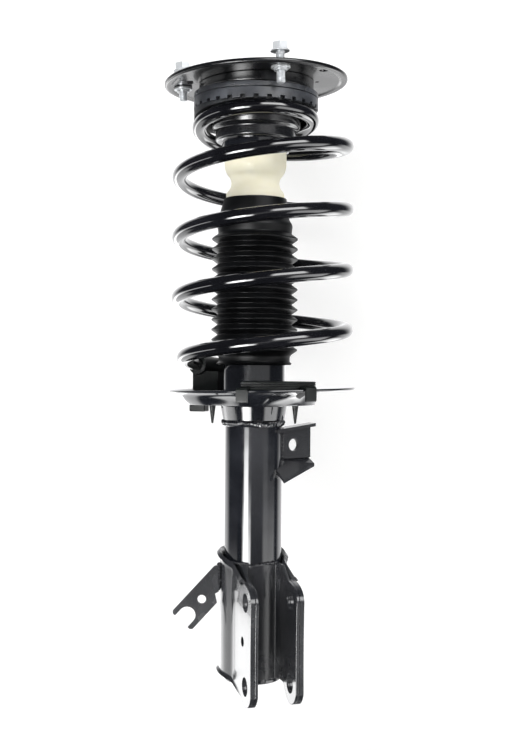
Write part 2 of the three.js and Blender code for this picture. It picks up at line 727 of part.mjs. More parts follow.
function coilSpring() {
  const angles = [...Array(COIL_SIDES).keys()].map((i) => (2 * Math.PI * i) / COIL_SIDES);
  const section = polygon(angles.map((a) => [WIRE_RADIUS * Math.cos(a), WIRE_RADIUS * Math.sin(a)]));
  const line = new CoilLine();
  line.arcLengthDivisions = 600;
  const steps = Math.round((lastTurn - topTurn) * COIL_STEPS_PER_TURN);
  return new THREE.ExtrudeGeometry(section, { steps, extrudePath: line });
}

piece('coil_spring', coilSpring(), springPowder);

// ---- Upper seat: rubber isolator, spring seat bowl, bearing race and ball cage ----
const seatSheet = RACE_SHEET - 1;
const bowlFlangeTop = raceTop - RACE_SHEET - GAP;
const bowlFlangeUnder = bowlFlangeTop - seatSheet;
const raceSkirt = BEARING_RADIUS - RACE_SHEET;
const bowlBottom = bowlFlangeTop - BOWL_DEPTH;

// Its underside follows the top of the leaning wire; its lip fades out where the wire is high.
function upperIsolator() {
  const top = bowlFlangeUnder - GAP;
  const wireTop = coilTop + WIRE_RADIUS + GAP;
  const inner = BOWL_RADIUS + GAP;
  const outer = raceSkirt - GAP;
  const under = raceBottom - GAP;
  const reach = ISOLATOR_LIP_RADIUS;
  const profile = [
    [inner, wireTop], [outer - 1, wireTop], [reach, wireTop], [reach, under],
    [outer, under], [outer, top], [inner, top],
  ];
  return reshaped(ring(profile, WIDE_SIDES), (p) => {
    const turn = euclideanModulo(-Math.atan2(p.y, p.x) / (2 * Math.PI), 1);
    const follow = coilDrop(turn) * (1 - smoothstep(turn, 0.5, 1 + topTurn));
    const wire = wireTop - follow + coilLean(p.x, p.y, 0);
    const radius = Math.hypot(p.x, p.y);
    const onLip = radius > outer + 0.1;
    if (p.z < wireTop + 0.01) p.z = onLip ? Math.min(wire, under - 0.2) : wire;
    if (onLip) {
      const lip = lerp(outer + 0.2, reach, smoothstep(under - wire, 0.5, 5));
      p.x *= lip / radius;
      p.y *= lip / radius;
    }
  });
}

function upperSpringSeat() {
  const step = bowlBottom + BOWL_STEP_HEIGHT;
  const line = [
    [BUMP_RADIUS + CUP_WALL + 2 * GAP, bowlBottom], [BOWL_STEP_RADIUS, bowlBottom], [BOWL_STEP_RADIUS, step],
    [BOWL_FOOT_RADIUS, step + 1], [BOWL_RADIUS, bowlFlangeUnder], [raceSkirt - GAP, bowlFlangeUnder],
  ];
  return revolved([...pressed(line, seatSheet), line[0]], WIDE_SIDES);
}

function bearingRace() {
  const web = raceTop - RACE_SHEET;
  const bore = BOWL_RADIUS;
  const skirt = solid(ring([
    [raceSkirt, raceBottom], [BEARING_RADIUS, raceBottom], [BEARING_RADIUS, raceTop],
    [bore, raceTop], [bore, web], [raceSkirt, web],
  ], WIDE_SIDES));
  const notches = [...Array(NOTCH_COUNT).keys()].map((i) => {
    const notch = new THREE.BoxGeometry(RACE_SHEET * 4, NOTCH_WIDTH, 2 * NOTCH_DEPTH);
    return notch.translate(BEARING_RADIUS, 0, raceBottom).rotateZ((2 * Math.PI * (i + 0.5)) / NOTCH_COUNT);
  });
  return pierced(skirt, notches);
}

function ballCage() {
  const height = (raceTop + coverTop - COVER_SHEET) / 2;
  const ballRadius = height - raceTop - GAP;
  const reach = ballRadius + 1;
  const half = ballRadius / 2;
  const cage = hoop(BALL_CIRCLE - reach, BALL_CIRCLE + reach, height - half, height + half, MIDDLE_SIDES);
  const balls = [...Array(BALL_COUNT).keys()].map((i) => {
    const ball = new THREE.SphereGeometry(ballRadius, 6, 4);
    return ball.translate(BALL_CIRCLE, 0, height).rotateZ((2 * Math.PI * i) / BALL_COUNT);
  });
  return faceted(joined(cage, ...balls));
}

// ---- Bump stop in its cup, with the dust boot hung on it ----
const cupTop = bowlBottom + seatSheet + GAP + CUP_WALL;
const bumpTop = cupTop - CUP_WALL - GAP;
const bumpNose = bumpTop - BUMP_HEIGHT;
const bootTop = bumpTop - BUMP_EXPOSED;
const bootBottom = bootTop - BOOT_LENGTH;

function bumpCup() {
  const skirt = bumpTop - CUP_DEPTH;
  const under = cupTop - CUP_WALL;
  const pocket = BUMP_RADIUS + GAP;
  const brim = BOWL_STEP_RADIUS - seatSheet - 1;
  const bore = ROD_RADIUS + 2;
  return ring([
    [pocket, skirt], [pocket + CUP_WALL, skirt], [pocket + CUP_WALL, under], [brim, under], [brim, cupTop],
    [bore, cupTop], [bore, under], [pocket, under],
  ], FOLD_SIDES);
}

function bumpStop() {
  const neck = BOOT_COLLAR_RADIUS - BOOT_WALL - GAP;
  const bore = ROD_RADIUS + 1;
  const at = (share) => bootTop + share * BUMP_EXPOSED;
  const collar = [bootTop - 6, at(0.07)];
  const nose = [
    [bore, bumpNose], [BUMP_NOSE_RADIUS - 2, bumpNose], [BUMP_NOSE_RADIUS, bumpNose + 3],
    [(BUMP_NOSE_RADIUS + neck) / 2, (bumpNose + bootTop) / 2], [neck, collar[0]], [neck, collar[1]],
  ];
  const bulge = new THREE.SplineCurve([
    [neck, collar[1]], [BUMP_WAIST_RADIUS + 2.4, at(0.18)], [BUMP_WAIST_RADIUS, at(0.265)],
    [BUMP_WAIST_RADIUS + 2, at(0.355)], [BUMP_RADIUS - 0.6, at(0.46)], [BUMP_RADIUS, at(0.53)],
    [BUMP_RADIUS - 0.5, at(0.655)],
  ].map(([x, y]) => new THREE.Vector2(x, y))).getPoints(9).slice(1).map((p) => [p.x, p.y]);
  return ring([...nose, ...bulge, [BUMP_RADIUS - 0.5, bumpTop], [bore, bumpTop]], FOLD_SIDES);
}

function dustBoot() {
  const folds = BOOT_LENGTH - BOOT_COLLAR_HEIGHT - BOOT_CUFF_HEIGHT;
  const pitch = folds / BOOT_FOLDS;
  const cuffTop = bootBottom + BOOT_CUFF_HEIGHT;
  const waves = [...Array(BOOT_FOLDS).keys()].flatMap((i) => [
    [BOOT_VALLEY_RADIUS, cuffTop + pitch * i], [BOOT_PEAK_RADIUS, cuffTop + pitch * (i + 0.5)],
  ]);
  const shoulder = bootTop - BOOT_COLLAR_HEIGHT;
  const line = [
    [BOOT_CUFF_RADIUS + 2, bootBottom], [BOOT_CUFF_RADIUS, bootBottom + 2],
    [BOOT_CUFF_RADIUS, cuffTop - 2], ...waves,
    [BOOT_VALLEY_RADIUS, shoulder], [BOOT_VALLEY_RADIUS + 1, shoulder + BOOT_COLLAR_HEIGHT / 4],
    [BOOT_SHOULDER_RADIUS - 1, shoulder + BOOT_COLLAR_HEIGHT * 0.42],
    [BOOT_SHOULDER_RADIUS, bootTop - BOOT_COLLAR_HEIGHT * 0.36],
    [BOOT_COLLAR_RADIUS + 1, bootTop - BOOT_COLLAR_HEIGHT / 8], [BOOT_COLLAR_RADIUS, bootTop],
  ];
  return revolved([...pressed(line, BOOT_WALL), line[0]], FOLD_SIDES);
}

piece('upper_isolator', upperIsolator(), blackRubber);
piece('upper_spring_seat', upperSpringSeat(), blackPaint);
piece('bearing_race', bearingRace(), greyPlastic);
piece('ball_cage', ballCage(), bareSteel);
piece('bump_stop_cup', bumpCup(), blackPaint);
piece('bump_stop', bumpStop(), creamFoam);
piece('dust_boot', dustBoot(), blackRubber);

// ---- Top mount: bearing cover, pressed cup, rubber, sleeve and the leaning plate ----
function bearingCover() {
  const web = coverTop - COVER_SHEET;
  const bore = BOWL_RADIUS - COVER_WEB;
  return ring([
    [BEARING_RADIUS - COVER_SHEET, coverBottom], [BEARING_RADIUS, coverBottom], [BEARING_RADIUS, coverTop],
    [bore, coverTop], [bore, web], [BEARING_RADIUS - COVER_SHEET, web],
  ], WIDE_SIDES);
}

const leanPlate = (point) => {
  point.z += Math.tan(PLATE_TILT) * point.x;
};

function mountCup() {
  const web = cupBottom + MOUNT_SHEET;
  const top = cupBottom + MOUNT_CUP_HEIGHT;
  const bore = WASHER_RADIUS + 3;
  const wall = MOUNT_CUP_RADIUS - MOUNT_SHEET;
  return reshaped(ring([
    [bore, cupBottom], [MOUNT_CUP_RADIUS - 1.5, cupBottom], [MOUNT_CUP_RADIUS, cupBottom + 1.5],
    [MOUNT_CUP_RADIUS, top], [wall, top], [wall, web], [bore, web],
  ], WIDE_SIDES), (point) => {
    if (point.z > top - 0.01) leanPlate(point);
  });
}

function mountRubber() {
  const outer = DOME_RADIUS - MOUNT_SHEET - GAP;
  const inner = SLEEVE_RADIUS + GAP;
  const core = WASHER_RADIUS + 3 - GAP;
  const web = cupBottom + MOUNT_SHEET + GAP;
  const flat = WASHER_RADIUS + 2;
  return reshaped(ring([
    [inner, sleeveBottom], [core, sleeveBottom], [core, web], [outer, web],
    [outer, sleeveTop], [flat, sleeveTop], [inner, sleeveTop],
  ], SLIM_SIDES), (point) => {
    if (point.z > sleeveTop - 0.01 && Math.hypot(point.x, point.y) > flat + 1) leanPlate(point);
  });
}

function mountPlate() {
  const rim = plateRadius;
  const foot = plateTop - PLATE_SKIRT;
  const domeTop = plateTop + DOME_RISE;
  const bead = rim - PLATE_BEAD;
  const flange = reshaped(ring([
    [DOME_RADIUS - MOUNT_SHEET, plateUnder], [bead - 4, plateUnder], [bead - 3, plateUnder - 1],
    [bead, foot], [rim, foot], [rim, plateTop - 1.5], [rim - 1.5, plateTop], [DOME_RADIUS + 1, plateTop],
    [DOME_RADIUS, domeTop - 1.5], [DOME_RADIUS - 1.5, domeTop], [DOME_BORE, domeTop],
    [DOME_BORE, domeTop - MOUNT_SHEET], [DOME_RADIUS - MOUNT_SHEET, domeTop - MOUNT_SHEET],
  ], WIDE_SIDES), leanPlate);
  const bores = boltPlaces().map(([x, y]) => [x, y, BOLT_RADIUS + 2 * GAP]);
  const holes = PLATE_HOLES.map(([edge, angle, radius]) => [...onPlate(edge, angle), radius]);
  const rounds = [...bores, ...holes].map(([x, y, radius]) => (
    tilted(upright(radius, -2 * MOUNT_SHEET, MOUNT_SHEET, x, y, SMALL_SIDES))
  ));
  const slot = new THREE.BoxGeometry(PLATE_SLOT_WIDTH, PLATE_SLOT_LENGTH, 4 * MOUNT_SHEET);
  slot.translate(PLATE_SLOT_EDGE - plateRadius, PLATE_SLOT_SETBACK, 0);
  return pierced(solid(flange), [...rounds, tilted(slot)]);
}

// Set out on the leaning plate: heights are above its top face.
function tilted(geometry) {
  return geometry.rotateY(-PLATE_TILT).translate(0, 0, plateTop);
}

// A place on the plate, given by its distance in from the rim and its angle.
function onPlate(edge, angle) {
  const reach = plateRadius - edge;
  return [reach * Math.cos(degToRad(angle)), reach * Math.sin(degToRad(angle))];
}

function boltPlaces() {
  return BOLT_ANGLES.map((angle) => onPlate(BOLT_EDGE, angle));
}

function plateBolt() {
  const flange = revolved([
    [0, 0], [BOLT_FLANGE_RADIUS, 0], [BOLT_FLANGE_RADIUS, 1], [BOLT_HEAD_FLATS / 2, 2.6], [0, 2.6],
  ], SMALL_SIDES);
  const head = slab(hexagon(BOLT_HEAD_FLATS), BOLT_HEAD_HEIGHT - 1).translate(0, 0, 1);
  const shank = revolved([
    [0, -BOLT_LENGTH], [BOLT_RADIUS - 1, -BOLT_LENGTH], [BOLT_RADIUS, 1 - BOLT_LENGTH],
    [BOLT_RADIUS, 1], [0, 1],
  ], SMALL_SIDES);
  return joined(flange, head, shank);
}

function clipNut() {
  const outer = NUT_FLANGE_RADIUS;
  return ring([
    [BOLT_RADIUS + GAP, -NUT_HEIGHT], [NUT_HUB_RADIUS, -NUT_HEIGHT], [NUT_HUB_RADIUS, -NUT_FLANGE],
    [outer, -NUT_FLANGE], [outer, 0], [BOLT_RADIUS + GAP, 0],
  ], SMALL_SIDES);
}

function mountSleeve() {
  return hoop(ROD_THREAD_RADIUS + GAP, SLEEVE_RADIUS, sleeveBottom, sleeveTop, SMALL_SIDES);
}

piece('bearing_cover', bearingCover(), greyPlastic);
piece('mount_cup', mountCup(), blackPaint);
piece('mount_rubber', mountRubber(), blackRubber);
piece('mount_sleeve', mountSleeve(), bareSteel);
piece('mount_plate', mountPlate(), blackPaint);
boltPlaces().forEach(([x, y], i) => {
  const standing = faceted(plateBolt()).translate(x, y, BOLT_STANDOFFS[i]);
  piece(`plate_bolt_${i + 1}`, tilted(standing), zincSteel);
  const under = clipNut().translate(x, y, -MOUNT_SHEET - GAP);
  piece(`plate_nut_${i + 1}`, tilted(under), zincSteel);
});

// ---- Brackets. In their own frame the ears point to -Y and lie to both sides of the middle ----
const earInner = EAR_OPENING / 2 + CHANNEL_SHEET + GAP;
const earOuter = earInner + WRAP_SHEET;
const wrapBore = TUBE_RADIUS + GAP;
const wrapOuter = wrapBore + WRAP_SHEET;
const earUpperHole = EAR_LOWER_HOLE + EAR_HOLE_SPACING;
const earFront = EAR_REACH + EAR_EDGE;

// The front and top edge of the ears seen from the side, as [distance ahead of the axis, height].
function earFrontEdge(shape) {
  const middle = (EAR_LOWER_HOLE + earUpperHole) / 2;
  shape.quadraticCurveTo(earFront - EAR_WAIST, middle, earFront, earUpperHole);
  shape.quadraticCurveTo(earFront, EAR_TOP, EAR_REACH - EAR_EDGE / 2, EAR_TOP + 2);
}

// Round the lower hole, then up the front edge.
function earLobe(shape) {
  const corner = EAR_LOBE_RADIUS * Math.SQRT1_2;
  shape.lineTo(EAR_REACH - corner, EAR_LOWER_HOLE - corner);
  shape.absarc(EAR_REACH, EAR_LOWER_HOLE, EAR_LOBE_RADIUS, -0.75 * Math.PI, -0.1 * Math.PI, false);
  earFrontEdge(shape);
}

function wrapOutline() {
  const behind = -wrapOuter - 2 * WRAP_LIP;
  const shape = new THREE.Shape();
  shape.moveTo(behind, WRAP_BOTTOM - WRAP_BOTTOM_FALL);
  shape.lineTo(EAR_SHOULDER - EAR_LOBE_RADIUS, WRAP_BOTTOM - WRAP_BOTTOM_FALL);
  earLobe(shape);
  shape.lineTo(EAR_SHOULDER, WRAP_TOP - WRAP_TOP_FALL);
  shape.lineTo(EAR_SHOULDER, WRAP_TOP + 1);
  shape.lineTo(behind, WRAP_TOP + 1);
  return shape;
}

function channelOutline() {
  const shape = new THREE.Shape();
  shape.moveTo(0, CHANNEL_BOTTOM);
  shape.lineTo(TUBE_RADIUS + 2 * CHANNEL_BEND, CHANNEL_BOTTOM);
  earLobe(shape);
  shape.lineTo(TUBE_RADIUS + CHANNEL_BEND, CHANNEL_TOP);
  shape.lineTo(0, CHANNEL_TOP);
  return shape;
}

// Turns an outline drawn ahead and up into a plate that spans the bracket from side to side.
function sidePrism(shape) {
  const half = wrapOuter + 2 * WRAP_LIP;
  return reshaped(slab(shape, 2 * half, 6), (p) => p.set(half - p.z, -p.x, p.y));
}

function earHoles() {
  return [EAR_LOWER_HOLE, earUpperHole].map((height) => {
    const bore = new THREE.CylinderGeometry(EAR_HOLE_RADIUS, EAR_HOLE_RADIUS, 4 * wrapOuter, SLIM_SIDES);
    return bore.rotateZ(Math.PI / 2).translate(0, -EAR_REACH, height);
  });
}

// One strip of sheet bent round the back of the tube and forward into the two ears. Its free edges
// behind the ears curl outward as a stiffening lip.
function wrapStrip() {
  const innerLimit = Math.asin(Math.sqrt(wrapBore ** 2 - earInner ** 2) / wrapBore);
  const outerLimit = Math.asin(Math.sqrt(wrapOuter ** 2 - earOuter ** 2) / wrapOuter);
  const arcSteps = 18;
  const earStations = [earFront + 1, EAR_SHOULDER + 0.5, EAR_SHOULDER - 0.5, (EAR_SHOULDER + wrapBore) / 2];
  const count = 2 * earStations.length + arcSteps;
  const levels = 5;
  const curl = [1, 0.3, 0, 0, 0.3, 1];
  const fall = (ahead) => (
    clamp((ahead + WRAP_FALL_START) / (EAR_SHOULDER + WRAP_FALL_START), 0, 1)
  );
  const strip = new THREE.BoxGeometry(1, 1, 1, count, 1, levels);
  return reshaped(strip, (p) => {
    const station = Math.round((p.x + 0.5) * count);
    const outside = p.y < 0;
    const level = Math.round((p.z + 0.5) * levels);
    const side = station <= count / 2 ? 1 : -1;
    const fromFront = Math.min(station, count - station);
    let x = side * (outside ? earOuter : earInner);
    let y = -earStations[fromFront];
    let away = new THREE.Vector2(side, 0);
    if (fromFront >= earStations.length) {
      const limit = outside ? outerLimit : innerLimit;
      const share = (station - earStations.length) / arcSteps;
      const angle = lerp(-limit, Math.PI + limit, share);
      away = new THREE.Vector2(Math.cos(angle), Math.sin(angle));
      x = away.x * (outside ? wrapOuter : wrapBore);
      y = away.y * (outside ? wrapOuter : wrapBore);
    }
    const lipped = -y < EAR_SHOULDER;
    const top = lipped ? WRAP_TOP - WRAP_TOP_FALL * fall(-y) : WRAP_TOP;
    const bottom = lipped ? WRAP_BOTTOM - WRAP_BOTTOM_FALL * fall(-y) : -2 * EAR_LOBE_RADIUS;
    const steps = [0, WRAP_LIP / 2, 1.5 * WRAP_LIP];
    const heights = [...steps.map((step) => bottom + step), ...steps.map((step) => top - step).reverse()];
    const lowFade = level < 3 ? 1 - fall(-y) : 1;
    const lip = lipped ? WRAP_LIP * curl[level] * lowFade : 0;
    p.set(x + away.x * lip, y + away.y * lip, heights[level]);
  });
}

function knuckleWrap() {
  const slotBore = new THREE.CylinderGeometry(EAR_SLOT_RADIUS, EAR_SLOT_RADIUS, wrapOuter, SMALL_SIDES);
  const slot = slotBore.rotateZ(Math.PI / 2).translate(-wrapOuter, -EAR_SLOT_REACH, EAR_SLOT_HEIGHT);
  const body = solid(wrapStrip()).intersect(solid(sidePrism(wrapOutline()))).subtract(solid(slot));
  return pierced(body, earHoles());
}

// A channel between the ears. Its web is bowed round the front of the tube and meets each side wall
// at a slanted crease, so that the flat seats of the walls begin ahead of the web.
function knuckleChannel() {
  const half = EAR_OPENING / 2;
  const outer = half + CHANNEL_SHEET;
  const front = -earFront - 1;
  const webFace = wrapBore + CHANNEL_SHEET;
  const crease = Math.asin((half - CHANNEL_CREASE) / webFace);
  const seatStart = -webFace - 2 * GAP;
  const heel = Math.asin(outer / wrapBore);
  const down = -Math.PI / 2;
  const plan = new THREE.Shape();
  plan.moveTo(outer, front);
  plan.absarc(0, 0, wrapBore, down + heel, down - heel, true);
  plan.lineTo(-outer, front);
  plan.lineTo(-half, front);
  plan.lineTo(-half, seatStart);
  plan.absarc(0, 0, webFace, down - crease, down + crease, false);
  plan.lineTo(half, seatStart);
  plan.lineTo(half, front);
  const tall = slab(plan, WRAP_TOP + 2 * EAR_LOBE_RADIUS, 7).translate(0, 0, -2 * EAR_LOBE_RADIUS);
  const channel = solid(tall).intersect(solid(sidePrism(channelOutline())));
  return pierced(channel, earHoles());
}

// ---- Brake hose bracket: an arm on the left of the wrap, with a bolt hole and an open notch ----
function hoseBracket() {
  const across = new THREE.Vector2(Math.sin(HOSE_ARM_DROP), -Math.cos(HOSE_ARM_DROP));
  const along = new THREE.Vector2(-Math.cos(HOSE_ARM_DROP), -Math.sin(HOSE_ARM_DROP));
  const root = -wrapOuter - GAP - HOSE_SHEET;
  const corner = new THREE.Vector2(root - 2, HOSE_TOP - 1);
  const place = (reach, side) => corner.clone().addScaledVector(along, reach).addScaledVector(across, side);
  const width = HOSE_ARM_WIDTH;
  const notch = HOSE_NOTCH_RADIUS;
  const mouth = place(HOSE_ARM_LENGTH - HOSE_NOTCH_DEPTH, width / 2);
  const outline = new THREE.Shape([
    new THREE.Vector2(root + HOSE_SHEET, HOSE_TOP), place(0, 0), place(HOSE_ARM_LENGTH, 0),
    place(HOSE_ARM_LENGTH + 2, 2), place(HOSE_ARM_LENGTH + 2, width - 2), place(HOSE_ARM_LENGTH, width),
    place(HOSE_ARM_LENGTH - HOSE_HEEL, width), new THREE.Vector2(root - 1, HOSE_TOP - HOSE_TAB_HEIGHT - 2),
    new THREE.Vector2(root + HOSE_SHEET, HOSE_TOP - HOSE_TAB_HEIGHT),
  ]);
  const holeCentre = place(HOSE_HOLE_REACH, width / 2);
  const boltHole = new THREE.Path();
  boltHole.absarc(holeCentre.x, holeCentre.y, HOSE_HOLE_RADIUS, 0, 2 * Math.PI, true);
  outline.holes.push(boltHole);
  const arm = slab(outline, HOSE_SHEET, 8);
  const throat = new THREE.Shape([
    mouth.clone().addScaledVector(across, -notch), mouth.clone().addScaledVector(across, notch),
    place(HOSE_ARM_LENGTH + 5, width / 2 + notch), place(HOSE_ARM_LENGTH + 5, width / 2 - notch),
  ].reverse());
  const round = slab(disc(notch), 3 * HOSE_SHEET).translate(mouth.x, mouth.y, 0);
  const bite = joined(slab(throat, 3 * HOSE_SHEET), round);
  const armBody = solid(arm).subtract(bite.translate(0, 0, -HOSE_SHEET));
  const tab = new THREE.BoxGeometry(HOSE_SHEET, HOSE_TAB_HEIGHT - 4, HOSE_TAB_REACH);
  tab.translate(root + HOSE_SHEET / 2, HOSE_TOP - HOSE_TAB_HEIGHT / 2, -HOSE_TAB_REACH / 2 + HOSE_SHEET);
  const bracket = faceted(armBody.add(solid(tab)));
  return bracket.rotateX(Math.PI / 2).translate(0, HOSE_SETBACK, 0);
}

// ---- Stabiliser link bracket: a drilled web between two flanges that end on the tube. It is drawn
// with x away from the tube, y up and z towards the open side ----
function linkBracket() {
  const rise = Math.tan(LINK_LEAN);
  const start = -LINK_ROOT;
  const linkTop = seatHeight - LINK_DROP;
  const webBottom = linkTop - LINK_WEB;
  const web = polygon([
    [start, webBottom], [LINK_LENGTH, webBottom], [LINK_LENGTH, linkTop + rise * LINK_LENGTH],
    [start, linkTop + rise * start],
  ]);
  const eye = new THREE.Path();
  eye.absarc(LINK_HOLE_REACH, linkTop - LINK_HOLE_DROP, LINK_HOLE_RADIUS, 0, 2 * Math.PI, true);
  web.holes.push(eye);
  const webPlate = slab(web, LINK_SHEET, 10).translate(0, 0, -LINK_SHEET);
  const lid = slab(polygon([
    [start, -LINK_SHEET], [LINK_LENGTH, -LINK_SHEET], [LINK_LENGTH, LINK_TOP_FLANGE - 2],
    [LINK_LENGTH - 2, LINK_TOP_FLANGE], [start, LINK_TOP_FLANGE],
  ]), LINK_SHEET);
  reshaped(lid, (p) => p.set(p.x, linkTop + rise * p.x + LINK_SHEET - 0.1 - p.z, p.y));
  const apron = slab(polygon([
    [start, -LINK_SHEET], [LINK_LENGTH, -LINK_SHEET], [LINK_LENGTH, LINK_FOOT_TIP], [start, LINK_FOOT],
  ]), LINK_SHEET);
  reshaped(apron, (p) => p.set(p.x, webBottom + 0.1 - p.z - Math.max(p.y, 0) * LINK_FOOT_SLOPE, p.y));
  const bracket = joined(webPlate, lid, apron).rotate([90, 0, THREE.MathUtils.radToDeg(LINK_TURN)]);
  const tube = upright(TUBE_RADIUS + GAP, 0, TUBE_LENGTH, 0, 0, WIDE_SIDES);
  return faceted(bracket.translate(TUBE_RADIUS + 1, -1, 0).subtract(solid(tube)));
}

const knuckle = new THREE.Group();
knuckle.rotation.z = EAR_TURN;
strut.add(knuckle);
piece('knuckle_bracket_outer', knuckleWrap(), blackPaint, knuckle);
piece('knuckle_bracket_inner', knuckleChannel(), blackPaint, knuckle);
piece('hose_bracket', hoseBracket(), blackPaint);
piece('link_bracket', linkBracket(), blackPaint);

export default strut;
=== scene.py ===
# Front suspension strut for a car: a gloss black damper with its brackets, a powder coated coil
# spring, a rubber boot and a foam bump stop on the rod, and a swivelling top mount.
import math

import bmesh
import bpy
from mathutils import Matrix, Vector, noise


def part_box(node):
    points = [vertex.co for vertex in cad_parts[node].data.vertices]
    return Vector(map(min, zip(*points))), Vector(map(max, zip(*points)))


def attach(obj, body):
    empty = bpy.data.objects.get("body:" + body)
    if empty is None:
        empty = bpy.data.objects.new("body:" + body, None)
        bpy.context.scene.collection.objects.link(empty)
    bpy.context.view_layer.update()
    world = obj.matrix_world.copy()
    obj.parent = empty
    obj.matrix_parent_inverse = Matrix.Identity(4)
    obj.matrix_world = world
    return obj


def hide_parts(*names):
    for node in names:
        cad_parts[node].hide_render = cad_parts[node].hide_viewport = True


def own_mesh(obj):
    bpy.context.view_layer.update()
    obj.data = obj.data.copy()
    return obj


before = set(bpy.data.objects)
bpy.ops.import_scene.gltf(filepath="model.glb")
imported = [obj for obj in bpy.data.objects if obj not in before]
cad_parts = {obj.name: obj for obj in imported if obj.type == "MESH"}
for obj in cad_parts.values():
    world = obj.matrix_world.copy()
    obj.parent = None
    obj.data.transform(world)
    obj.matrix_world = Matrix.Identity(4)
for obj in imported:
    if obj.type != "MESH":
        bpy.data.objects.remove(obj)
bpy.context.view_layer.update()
scene = bpy.context.scene

# ---- Camera ----
# A 55 mm lens on a 36 mm frame, 1.09 m in front of the rod. The strut leans a little to the right in
# the picture, so the camera is rolled by the same angle.
LENS_MM = 55.34
CAMERA_DISTANCE = 1.091
CAMERA_HEIGHT = 0.2945
CAMERA_SIDE = -0.00104
CAMERA_ROLL = math.radians(0.41)
HORIZON_SHIFT = -0.012

camera_data = bpy.data.cameras.new("camera")
camera_data.lens = LENS_MM
camera_data.sensor_width = 36
camera_data.shift_y = HORIZON_SHIFT
camera = bpy.data.objects.new("camera", camera_data)
camera.location = (CAMERA_SIDE, -CAMERA_DISTANCE, CAMERA_HEIGHT)
camera.rotation_euler = (math.radians(90), -CAMERA_ROLL, 0)
scene.collection.objects.link(camera)
scene.camera = camera
scene.view_settings.view_transform = "Standard"


# ---- Room and lamps ----
# A white room for the eye and for daylight. Mirrored rays see a dark room instead, with two strong
# panels low on the left beside the camera, one high on the right and weaker ones low all round,
# placed to bring the highlights on the paint near those of the photograph.
def hex_colour(code):
    shares = [int(code[i:i + 2], 16) / 255 for i in (1, 3, 5)]
    return (*[c / 12.92 if c <= 0.04045 else ((c + 0.055) / 1.055) ** 2.4 for c in shares], 1)


def add(tree, kind, settings, inputs):
    node = tree.nodes.new("ShaderNode" + kind)
    for name, value in settings.items():
        setattr(node, name, value)
    for socket, value in inputs.items():
        if isinstance(value, bpy.types.NodeSocket):
            tree.links.new(value, node.inputs[socket])
        else:
            node.inputs[socket].default_value = value
    return node


# Each panel: azimuths from the camera's side towards the right, heights above the horizon, the
# softness of its edges in degrees, and its strength.
PANELS = [
    (-37, -20, -26, -3.5, 1.5, 8.5),
    (-43, -10, -28, -8, 3, 8.0),
    (10, 56, 13, 42, 4, 4.6),
    (40, 94, -36, -9, 6, 2.0),
    (-176, -66, -19, -10.5, 2, 2.2),
    (-168, -146, -68, -52, 3, 2.0),
    (110, 156, -62, -24, 6, 2.4),
    (-24, 60, -8, 6, 6, 0.32),
]
# The white paper behind, as the paint sees it: it fades in from the side, between two heights.
BACK_GLOWS = [(106, 128, -40, -4, 1.0), (124, 152, -4, 46, 1.0)]
BACK_EDGE = 4
ROOM_COLOUR = hex_colour("#34363c")
ROOM_BRIGHTNESS = 0.62

world = bpy.data.worlds.new("studio")
scene.world = world
world.use_nodes = True
room = world.node_tree
room.nodes.clear()
look = add(room, "TexCoord", {}, {})
parts = add(room, "SeparateXYZ", {}, {0: look.outputs["Generated"]})
ahead = add(room, "Math", {"operation": "MULTIPLY"}, {0: parts.outputs["Y"], 1: -1})
turn = add(room, "Math", {"operation": "ARCTAN2"}, {0: parts.outputs["X"], 1: ahead.outputs[0]})
lift = add(room, "Math", {"operation": "ARCSINE"}, {0: parts.outputs["Z"]})


def edge(angle, start, end):
    rise = {"Value": angle.outputs[0], "From Min": math.radians(start), "From Max": math.radians(end)}
    return add(room, "MapRange", {"interpolation_type": "SMOOTHSTEP"}, rise).outputs["Result"]


def band(low, high, soft):
    return [edge(lift, low - soft, low + soft), edge(lift, high + soft, high - soft)]


sideways = add(room, "Math", {"operation": "ABSOLUTE"}, {0: turn.outputs[0]})
glows = [
    (strength, [edge(sideways, start, end), *band(low, high, BACK_EDGE)])
    for start, end, low, high, strength in BACK_GLOWS
]
for left, right, low, high, soft, strength in PANELS:
    sides = [edge(turn, left - soft, left + soft), edge(turn, right + soft, right - soft)]
    glows.append((strength, [*sides, *band(low, high, soft)]))
glow = 0.0
for shape, limits in glows:
    for limit in limits:
        shape = add(room, "Math", {"operation": "MULTIPLY"}, {0: shape, 1: limit}).outputs[0]
    glow = add(room, "Math", {"operation": "ADD"}, {0: glow, 1: shape}).outputs[0]

rays = add(room, "LightPath", {}, {})
dark_side = add(room, "Background", {}, {"Color": ROOM_COLOUR, "Strength": 1.0})
panels = add(room, "Background", {}, {"Color": (1, 1, 1, 1), "Strength": glow})
mirrored = add(room, "AddShader", {}, {0: dark_side.outputs[0], 1: panels.outputs[0]})
daylight = add(room, "Background", {}, {"Color": (1, 1, 1, 1), "Strength": ROOM_BRIGHTNESS})
white = add(room, "Background", {}, {"Color": (1, 1, 1, 1), "Strength": 1.0})
lit = add(room, "MixShader", {}, {
    0: rays.outputs["Is Glossy Ray"], 1: daylight.outputs[0], 2: mirrored.outputs[0],
})
seen = add(room, "MixShader", {}, {0: rays.outputs["Is Camera Ray"], 1: lit.outputs[0], 2: white.outputs[0]})
add(room, "OutputWorld", {}, {"Surface": seen.outputs[0]})

LAMPS = [
    ("lamp from the left", (-0.75, -0.85, 0.95), 0.7, 11.0),
    ("lamp from the right", (0.95, -0.55, 0.65), 0.6, 6.0),
    ("lamp from behind", (0.2, 1.2, 1.0), 0.8, 6.0),
]
LAMP_AIM = Vector((0, 0, 0.3))

